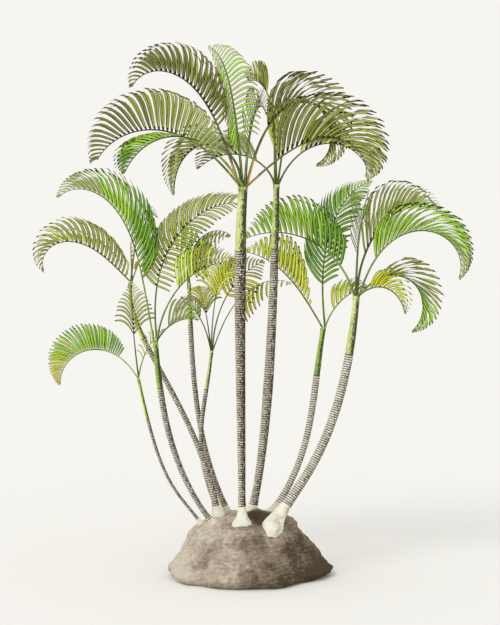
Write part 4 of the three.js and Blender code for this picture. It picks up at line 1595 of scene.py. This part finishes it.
@dataclass
class RootBall:
    """The root ball: a lobed mound of earth with lumps and creases, on a flat underside.

    Skirt and lumps hold the size of the clouds that push the earth and how far they push, in metres. Cap and
    underside are insets of its top and bottom, and hold is the height from which the earth may be pushed and
    the height over which that grows.
    """

    growth: Growth
    palette: Palette
    sides: int = 132
    steps: int = 3
    cap: float = 0.5
    underside: tuple[float, ...] = (0.06, 0.2, 0.3)
    hold: tuple[float, float] = (0.004, 0.06)
    skirt: tuple[float, float] = (0.22, 0.055)
    lumps: tuple[tuple[float, float], ...] = (
        (0.4, 0.07), (0.17, 0.06), (0.07, 0.026), (0.024, 0.01),
    )
    shade_angle: float = 60

    def build(self) -> bpy.types.Object:
        """Shapes and dresses the mound and lets it stand for its solid.

        Returns:
            The root ball.
        """
        piece = self._mound()
        for vertex in piece.data.vertices:
            x, y, z = vertex.co
            vertex.co = Vector(self.growth.ball.point(math.atan2(y, x), math.hypot(x, y), z)) * MM
        Bench.apply(piece, "SUBSURF", levels=1, render_levels=1)
        low, rise = self.hold
        Bench.weigh(piece, "sides", lambda height: (height - low) / rise)
        for direction in "XY":
            Bench.roughen(piece, f"skirt_{direction}", self.skirt, direction=direction)
        for form in self.lumps:
            Bench.roughen(piece, f"lumps_{form[0]}", form, vertex_group="sides")
        piece.vertex_groups.clear()
        piece.data.materials.append(self.palette.earth)
        Bench.smooth(piece, self.shade_angle)
        return Bench.place(piece, "earth", ["root_ball"])

    def _mound(self) -> bpy.types.Object:
        """Models a round mound whose radius and height are shares of the root ball's.

        Returns:
            The mound.
        """
        rings = self.growth.ball.rings
        share, rise = rings[0]
        piece = Bench.circle("root_ball_earth", self.sides, share)
        with Bench.editing(piece):
            bpy.ops.mesh.select_all(action="SELECT")
            for (low_share, low), (high_share, high) in zip(rings, rings[1:]):
                for step in range(1, self.steps + 1):
                    next_share = lerp(low_share, high_share, step / self.steps)
                    next_rise = lerp(low, high, step / self.steps)
                    Bench.extrude(next_rise - rise, next_share / share)
                    share, rise = next_share, next_rise
            bpy.ops.mesh.edge_face_add()
            bpy.ops.mesh.inset(thickness=share * self.cap)
            Bench.select_edges(piece, lambda middle: abs(middle.z) < LEVEL)
            bpy.ops.mesh.edge_face_add()
            for inset in self.underside:
                bpy.ops.mesh.inset(thickness=inset)
            Bench.turn_outwards()
        return piece


# Foliage


@dataclass
class Heap:
    """Points and faces of many small closed or open forms that are joined into one mesh."""

    points: list[Array] = field(default_factory=list)
    quads: list[Array] = field(default_factory=list)
    slots: list[Array] = field(default_factory=list)
    count: int = 0

    def add(self, points: Array, quads: Array, slots: Array) -> None:
        """Adds forms.

        Args:
            points: Their points in millimetres, one a row.
            quads: Four point numbers a face, counted from the first of these points.
            slots: Material slot of each face.
        """
        self.points.append(points)
        self.quads.append(quads + self.count)
        self.slots.append(slots)
        self.count += len(points)

    def object(self, name: str, materials: Iterable[bpy.types.Material]) -> bpy.types.Object:
        """Joins all that was added into one object.

        Args:
            name: The object's name.
            materials: Its material slots.

        Returns:
            The object, smooth shaded.
        """
        points = np.concatenate(self.points) * MM
        quads, slots = np.concatenate(self.quads), np.concatenate(self.slots)
        mesh = bpy.data.meshes.new(name)
        mesh.vertices.add(len(points))
        mesh.vertices.foreach_set("co", points.astype(np.float32).ravel())
        mesh.loops.add(quads.size)
        mesh.loops.foreach_set("vertex_index", quads.astype(np.int32).ravel())
        mesh.polygons.add(len(quads))
        mesh.polygons.foreach_set("loop_start", np.arange(0, quads.size, 4, dtype=np.int32))
        mesh.polygons.foreach_set("loop_total", np.full(len(quads), 4, np.int32))
        mesh.polygons.foreach_set("material_index", slots.astype(np.int32))
        mesh.polygons.foreach_set("use_smooth", np.ones(len(quads), bool))
        for material in materials:
            mesh.materials.append(material)
        mesh.update(calc_edges=True)
        mesh.validate()
        piece = bpy.data.objects.new(name, mesh)
        bpy.context.scene.collection.objects.link(piece)
        return piece


@dataclass(frozen=True)
class FrondSide:
    """One side of a frond, whose leaflets are grown together.

    Half is half of the rib's thickness at its foot, in millimetres, sign is 1 for the left side and -1 for
    the right, and sway is what both leaflets of each pair have added to their sweep, in degrees.
    """

    frond: Frond
    line: RibLine
    half: float
    sign: int
    sway: Array

    @property
    def row(self) -> Row:
        """How the leaflets of this side stand."""
        stance = self.frond.habit.value
        return stance.left if self.sign > 0 else stance.right


@dataclass
class LeafletMaker:
    """Grows the leaflets of a frond as arched, keeled ribbons of a few faces each.

    Trim is how much shorter they are at the tip, and the power by which that sets in. Shakes are small
    differences in degrees. Seat is how far beside and above the rib's middle they spring, in shares of its
    thickness. Stations lie along a leaflet and lanes across it, and outline is its width at each station.
    Leaflets shorter than full_from, in millimetres, are narrower.
    """

    growth: Growth
    fit: float = 0.95
    trim: tuple[float, float] = (0.55, 3.2)
    blunt_trim: float = 3
    fewest: int = 6
    keel: float = 0.3
    seat: tuple[float, float] = (0.35, 0.45)
    sweep_shake: float = 1.1
    lift_shake: float = 2.2
    shortest: float = 0.96
    full_from: float = 240
    narrowest: float = 0.55
    stations: tuple[float, ...] = (0, 0.06, 0.2, 0.38, 0.57, 0.76, 0.92, 1)
    outline: tuple[float, ...] = (0.5, 0.84, 1.0, 1.0, 1.0, 0.96, 0.72, 0.24)
    lanes: tuple[float, ...] = (-1, -0.66, 0, 0.66, 1)

    def shares(self, frond: Frond) -> Array:
        """Works out where the pairs spring.

        Args:
            frond: The frond.

        Returns:
            Shares of the feathered stretch, the last at the tip.
        """
        feathered = frond.length * (1 - frond.bare) * (1 - frond.first)
        pairs = max(self.fewest, round(feathered / frond.habit.value.pitch))
        return lerp(frond.first, 1.0, np.append((np.arange(pairs) + 0.5) / pairs, 1.0))

    def grow(self, side: FrondSide, dice: np.random.Generator) -> Array:
        """Grows one side's leaflets.

        Args:
            side: The side.
            dice: Source of small differences.

        Returns:
            The points by leaflet, station and lane.
        """
        frond, line, row, stance = side.frond, side.line, side.row, side.frond.habit.value
        share = self.shares(frond)
        along = self._along(frond, share)
        ahead = line.ahead(along)
        normal = np.cross(ahead, line.left)
        thick = side.half * lerp(1, self.growth.rib_tip_share, along)
        beside, above = self.seat
        root = line.point(along) + (side.sign * line.left * beside + normal * above) * thick[:, None]
        tip = self._tips(side, share + (row.lead + frond.lead) * (1 - share**2), dice)
        reach = np.linalg.norm(tip - root, axis=-1)
        straight = unit(tip - root)
        back = unit(straight * (straight * ahead).sum(-1, keepdims=True) - ahead)
        t = np.array(self.stations)[None, :, None]
        crest = stance.crest
        arch = (t / crest) ** (2 * crest) * ((1 - t) / (1 - crest)) ** (2 - 2 * crest)
        bend = back[:, None, :] * stance.arch * arch + normal[:, None, :] * stance.bow * 4 * t * (1 - t)
        fall = -UP * row.droop * t**3
        spine = root[:, None, :] + (tip - root)[:, None, :] * t + (bend + fall) * reach[:, None, None]
        width = stance.width * np.clip(reach / self.full_from, self.narrowest, 1.0)
        return self._blades(spine, ahead, normal, width)

    def _along(self, frond: Frond, share: Array) -> Array:
        """Shares of the whole rib at shares of its feathered stretch."""
        return frond.bare + (1 - frond.bare) * self.growth.last_pair * share

    def _tips(self, side: FrondSide, share: Array, dice: np.random.Generator) -> Array:
        """Places the tips of one side's leaflets, on the outline of the frond's solid.

        Args:
            side: The side.
            share: Shares of the feathered stretch beside which the tips lie.
            dice: Source of small differences.

        Returns:
            The tips, one a row.
        """
        frond, line, row = side.frond, side.line, side.row
        along = self._along(frond, share)
        ahead = line.ahead(along)
        lift = lerp(*row.lift, share) + dice.normal(0, self.lift_shake, len(share))
        aim = self.growth.aim(ahead, np.cross(ahead, line.left), side.sign * line.left,
                              lerp(*row.sweep, share) + side.sway, lift)
        loss, power = self.trim
        loss *= max(0, 1 - self.blunt_trim * frond.blunt)
        reach = self.growth.leaflet_length(frond, share) * (1 - loss * np.maximum(0, share) ** power)
        reach = reach * dice.uniform(self.shortest, 1.0, len(share)) * self.fit * frond.reach * row.reach
        return line.point(along) + aim * reach[:, None]

    def _blades(self, spine: Array, ahead: Array, normal: Array, width: Array) -> Array:
        """Spreads each spine into a blade.

        Args:
            spine: Points by leaflet and station.
            ahead: Rib directions by leaflet.
            normal: Upward directions by leaflet.
            width: Widths by leaflet, in millimetres.

        Returns:
            Points by leaflet, station and lane.
        """
        tangent = unit(np.gradient(spine, axis=1))
        flat = ahead[:, None, :] * np.ones_like(tangent)
        flat = unit(flat - tangent * (flat * tangent).sum(-1, keepdims=True))
        face = np.cross(tangent, flat)
        face = face * np.sign((face * normal[:, None, :]).sum(-1, keepdims=True) + 1e-9)
        half = width[:, None, None, None] / 2 * np.array(self.outline)[None, :, None, None]
        lane = np.array(self.lanes)[None, None, :, None]
        across = lane * flat[:, :, None, :] - self.keel * np.abs(lane) * face[:, :, None, :]
        return spine[:, :, None, :] + half * across

    def faces(self, shaded_foot: bool) -> tuple[Array, Array]:
        """Lays out the faces of one leaflet.

        Args:
            shaded_foot: Whether its foot takes painted shade, where it meets the rib.

        Returns:
            The faces, and their slots: 0 for the blade and 1 for the dark colour that paints shade on its
                margins and foot and darkens its tip.
        """
        rows, lanes = len(self.stations), len(self.lanes)
        quads, slots = [], []
        for r in range(rows - 1):
            for k in range(lanes - 1):
                a = r * lanes + k
                quads.append((a, a + 1, a + lanes + 1, a + lanes))
                # Slot 1: painted shade on the outer lanes and, where footed, the first row; dark tips on the
                # last row
                slots.append(int(k in (0, lanes - 2) or r == rows - 2 or shaded_foot and r == 0))
        return np.array(quads), np.array(slots)


@dataclass
class StalkMaker:
    """Grows petioles and ribs: round below, grooved above, and thinner towards the tip.

    Foot depth and padding are in millimetres. Swell is how much wider the stalk is at its foot and at its
    knee in the crown, and knee how deep that lies in shares of the foot's depth. Dark from is the share of
    the rib from which most of its sides are dark.
    """

    growth: Growth
    sides: int = 10
    rings: int = 46
    foot_depth: float = 60
    foot_shift: float = 0.6
    knee: float = 0.35
    swell: tuple[float, float] = (1.2, 1.15)
    slim: float = 0.85
    padding: float = 3.4
    tip_share: float = 0.3
    thinning: float = 0.9
    groove: float = 0.45
    groove_from: float = 0.8
    petiole_share: float = 0.5
    dark_from: float = 0.42

    def grow(self, frond: Frond, line: RibLine, half: float) -> tuple[Array, Array, Array]:
        """Grows one petiole and rib.

        Args:
            frond: The frond.
            line: The rib's line.
            half: Half of its thickness at its foot, in millimetres.

        Returns:
            Its points, one a row, its faces, and their slots: petiole 0, rib 1 and dark rim 2, which paints
            shade.
        """
        along = np.linspace(0, 1, self.rings)
        ahead, middle = line.ahead(along), line.point(along)
        thick = half * self.slim + self.padding
        size = thick * lerp(1, self.tip_share, along**self.thinning)
        foot = middle[0] - line.up * self.foot_depth - line.seat * half * self.foot_shift
        knee = middle[0] - line.up * self.foot_depth * self.knee
        middle = np.concatenate([[foot, knee], middle])
        normal = np.concatenate([[-line.seat, -line.seat], np.cross(ahead, line.left)])
        ahead = np.concatenate([[line.up, line.up], ahead])
        size = np.concatenate([[thick * swell for swell in self.swell], size])
        left = np.cross(normal, ahead)
        turn = (np.arange(self.sides) + 0.5) * math.tau / self.sides
        rise, side = np.cos(turn), np.sin(turn)
        grooved = np.where(rise > self.groove_from, rise - self.groove, rise)
        rings = middle[:, None, :] + size[:, None, None] * (
            grooved[None, :, None] * normal[:, None, :] + side[None, :, None] * left[:, None, :]
        )
        petiole = 2 + int(self.rings * frond.bare * self.petiole_share)
        return rings.reshape(-1, 3), *self._faces(len(middle), petiole)

    def _faces(self, rings: int, petiole: int) -> tuple[Array, Array]:
        """Lays out the faces of the tube between rings, and of its two ends.

        Args:
            rings: How many rings the tube has.
            petiole: How many of them belong to the petiole.

        Returns:
            The faces and their slots.
        """
        quads, slots = [], []
        # The first two rings, foot and knee, lie in the crown
        for r in range(rings - 1):
            for k in range(self.sides):
                a, b = r * self.sides + k, r * self.sides + (k + 1) % self.sides
                quads.append((a, b, b + self.sides, a + self.sides))
                # Rim slot: painted shade on the groove's edges and the underside; further out, most of the
                # sides
                rim = r > 1 and k in (0, self.sides - 2, self.sides // 2 - 1, self.sides // 2)
                rim = rim or r > rings * self.dark_from and k % 3 > 0
                slots.append(2 if rim else 0 if 2 < r < petiole else 1)
        for r in (0, rings - 1):
            ring = [r * self.sides + k for k in range(self.sides)]
            ring = ring if r else ring[::-1]
            for k in range(1, self.sides - 2, 2):
                quads.append((ring[0], ring[k], ring[k + 1], ring[k + 2]))
                slots.append(1)
        return np.array(quads), np.array(slots)


@dataclass
class Crowns:
    """All the crowns: ribs and leaflets of every frond, joined by tone.

    Flecks is the share of leaflets that take a frond's fleck tone, and mingling how far its bands run into
    one another. Room is the least way from a leaflet's middle to a cane, in millimetres, and cuts are the
    shares to which a leaflet without that room is shortened.
    """

    growth: Growth
    palette: Palette
    seed: int = 7
    flecks: float = 0.14
    mingling: float = 0.2
    room: float = 12
    cuts: tuple[float, ...] = (1.0, 0.8, 0.62, 0.45, 0.3)
    samples: int = 70
    trunks: Array = field(init=False)

    def __post_init__(self) -> None:
        """Measures the canes that the leaflets keep clear of."""
        self.trunks = np.concatenate([self._trunk(cane) for cane in CANES])

    def build(self) -> list[bpy.types.Object]:
        """Grows every frond and lets the joined pieces stand for their solids.

        Returns:
            The pieces.
        """
        dice = np.random.default_rng(self.seed)
        leaflets, stalks = LeafletMaker(self.growth), StalkMaker(self.growth)
        blades = {tone: Heap() for tone in Tone}
        ribs = {stalk: Heap() for stalk in Stalk}
        # Dark and plain olive leaflets also take painted shade at their feet
        layout = {tone: leaflets.faces(tone in (Tone.DARK_OLIVE, Tone.OLIVE)) for tone in Tone}
        for cane in CANES:
            seats = self.growth.seats(cane.number)
            for frond in (f for f in FRONDS if f.cane == cane.number):
                line = self.growth.rib(frond, cane, seats[frond.name])
                half = self.growth.rib_half(frond, cane)
                ribs[frond.stalk].add(*stalks.grow(frond, line, half))
                for tone, leaflet in self._feathers(frond, line, half, leaflets, dice):
                    blades[tone].add(leaflet.reshape(-1, 3), *layout[tone])
        pieces = []
        for tone, heap in blades.items():
            # Blade, and the dark edge colour that paints shade
            dress = (self.palette.blade[tone], self.palette.margin[tone])
            piece = heap.object(f"leaflets_{tone.value}", dress)
            pieces.append(Bench.place(piece, f"leaf_{tone.value}", self._nodes(tone)))
        for stalk, heap in ribs.items():
            piece = heap.object(f"ribs_{stalk.value}", self.palette.stalk[stalk])
            pieces.append(Bench.place(piece, RIB_SLOTS[stalk]))
        return pieces

    def _feathers(
        self, frond: Frond, line: RibLine, half: float, leaflets: LeafletMaker, dice: np.random.Generator
    ) -> Iterator[tuple[Tone, Array]]:
        """Grows the leaflets of one frond, clear of the canes.

        Args:
            frond: The frond.
            line: Its rib.
            half: Half of the rib's thickness at its foot, in millimetres.
            leaflets: What grows them.
            dice: Source of small differences.

        Returns:
            Each leaflet's tone and its points by station and lane.
        """
        share = leaflets.shares(frond)
        sway = dice.normal(0, leaflets.sweep_shake, len(share))
        bands = self._bands(frond, share, dice)
        for sign in (1, -1):
            for leaflet, band in zip(leaflets.grow(FrondSide(frond, line, half, sign, sway), dice), bands):
                kept = self._clear_of_canes(leaflet)
                if kept is not None:
                    yield frond.fleck if frond.fleck and dice.random() < self.flecks else band, kept

    def _trunk(self, cane: Cane) -> Array:
        """Measures one cane and its crownshaft.

        Args:
            cane: The cane.

        Returns:
            Points along it with its radius there, one a row.
        """
        path = cane.path(self.growth.ball)
        share = np.linspace(0, 1, self.samples)
        last = 1 - cane.shaft / path.length
        radius = [
            cane.radius(s / last, s * path.length - cane.sink) if s < last
            else cane.shaft_radius((s - last) / (1 - last))
            for s in share
        ]
        return np.column_stack([path.at(share), radius])

    def _clear_of_canes(self, leaflet: Array) -> Array | None:
        """Draws a leaflet back towards its root where it would run into a cane.

        Args:
            leaflet: Points by station and lane.

        Returns:
            The same, shorter if need be, or nothing where there is no room.
        """
        root = leaflet[0].mean(0)
        for cut in self.cuts:
            shorter = root + (leaflet - root) * cut
            spine = shorter[1:].mean(1)
            away = np.linalg.norm(spine[:, None, :] - self.trunks[None, :, :3], axis=2)
            if (away > self.trunks[None, :, 3] + self.room).all():
                return shorter
        return None

    def _bands(self, frond: Frond, share: Array, dice: np.random.Generator) -> list[Tone]:
        """Deals a tone to each pair by its place along the frond.

        Args:
            frond: The frond.
            share: Shares of the feathered stretch at which the pairs spring.
            dice: Source of small differences, which mix the bands where they meet.

        Returns:
            The tone of each pair.
        """
        bands = frond.bands or (frond.tone,)
        place = share * len(bands) + dice.normal(0, self.mingling, len(share))
        return [bands[int(min(len(bands) - 1, max(0, spot)))] for spot in place]

    @staticmethod
    def _nodes(tone: Tone) -> list[str]:
        """Names the solids that a tone's piece stands for.

        Args:
            tone: The tone.

        Returns:
            The names. A group of fronds goes with the tone of its first one.
        """
        names, seen = [], set()
        for frond in FRONDS:
            if frond.group:
                key = f"fronds_{frond.cane}_{frond.group}"
                if key not in seen:
                    seen.add(key)
                    names += [key] if frond.tone is tone else []
            elif frond.tone is tone:
                ends = ("_inner", "_outer") if frond.split else ("",)
                names += [f"frond_{frond.cane}_{frond.name}{end}" for end in ends]
        return names


# Studio


@dataclass
class Studio:
    """Plain pale floor, soft light from the upper left, and the camera of the picture.

    Sizes are in metres, but for the lens and the sensor, which are in millimetres. Angles are in degrees.
    """

    floor_size: float = 900
    floor_colour: Colour = (0.86, 0.85, 0.82)
    sky_colour: Colour = (1.0, 0.99, 0.97)
    sky_strength: float = 0.86
    lamp_strength: float = 0.9
    lamp_width: float = 25
    lamp_side: Point = (-0.55, -0.75, 1.15)
    target: Point = (0.017, 0.0, 2.25)
    distance: float = 28.0
    elevation: float = 7.5
    lens: float = 240.0
    sensor: float = 36.0
    sight: float = 2000

    def build(self) -> None:
        """Sets up floor, light and camera."""
        self._floor()
        self._light()
        self._camera()

    def _floor(self) -> None:
        """Lays a wide pale floor."""
        Bench.clear()
        bpy.ops.mesh.primitive_plane_add(size=self.floor_size, location=(0, 0, 0))
        floor = bpy.context.object
        floor.name = floor.data.name = "studio_floor"
        material, sheet, shader = blank("studio_floor", self.floor_colour, specular=0.0)
        shader.inputs["Base Color"].default_value = (*self.floor_colour, 1)
        shader.inputs["Roughness"].default_value = 1.0
        place = sheet.node("ShaderNodeTexCoord").outputs["Object"]
        tooth = sheet.node("ShaderNodeTexNoise", {"Vector": place, "Scale": 9.0})
        sheet.bump(tooth.outputs["Fac"], strength=0.05, depth=0.01, shader=shader)
        floor.data.materials.append(material)

    def _light(self) -> None:
        """Lights the set with an even sky and one wide, soft lamp."""
        scene = bpy.context.scene
        scene.world = bpy.data.worlds.new("studio_sky")
        scene.world.use_nodes = True
        sky = scene.world.node_tree.nodes["Background"]
        sky.inputs["Color"].default_value = (*self.sky_colour, 1)
        sky.inputs["Strength"].default_value = self.sky_strength
        scene.view_settings.view_transform = "Standard"
        lamp = bpy.data.lights.new("key", "SUN")
        lamp.energy = self.lamp_strength
        lamp.angle = math.radians(self.lamp_width)
        key = bpy.data.objects.new("key", lamp)
        key.rotation_euler = Vector(self.lamp_side).to_track_quat("Z", "Y").to_euler()
        scene.collection.objects.link(key)

    def _camera(self) -> None:
        """Places the camera where the picture is seen from."""
        lift = math.radians(self.elevation)
        away = Vector((0, -math.cos(lift), math.sin(lift)))
        data = bpy.data.cameras.new("camera")
        data.sensor_fit = "HORIZONTAL"
        data.sensor_width = self.sensor
        data.lens = self.lens
        data.clip_end = self.sight
        camera = bpy.data.objects.new("camera", data)
        camera.location = Vector(self.target) + away * self.distance
        camera.rotation_euler = away.to_track_quat("Z", "Y").to_euler()
        bpy.context.scene.collection.objects.link(camera)
        bpy.context.scene.camera = camera


def main() -> None:
    """Builds the studio and the palm."""
    logging.basicConfig(level=logging.INFO, format="%(name)s: %(message)s")
    Studio().build()
    growth, palette = Growth(), Palette()
    pieces = [RootBall(growth, palette).build()]
    for cane in CANES:
        pieces.append(CaneStem(cane, growth, palette).build())
        pieces.append(Crownshaft(cane, growth, palette).build())
    pieces += Crowns(growth, palette).build()
    for piece in pieces:
        piece.data.calc_loop_triangles()
        LOG.info("%s: %d triangles", piece.name, len(piece.data.loop_triangles))


if __name__ == "__main__":
    main()
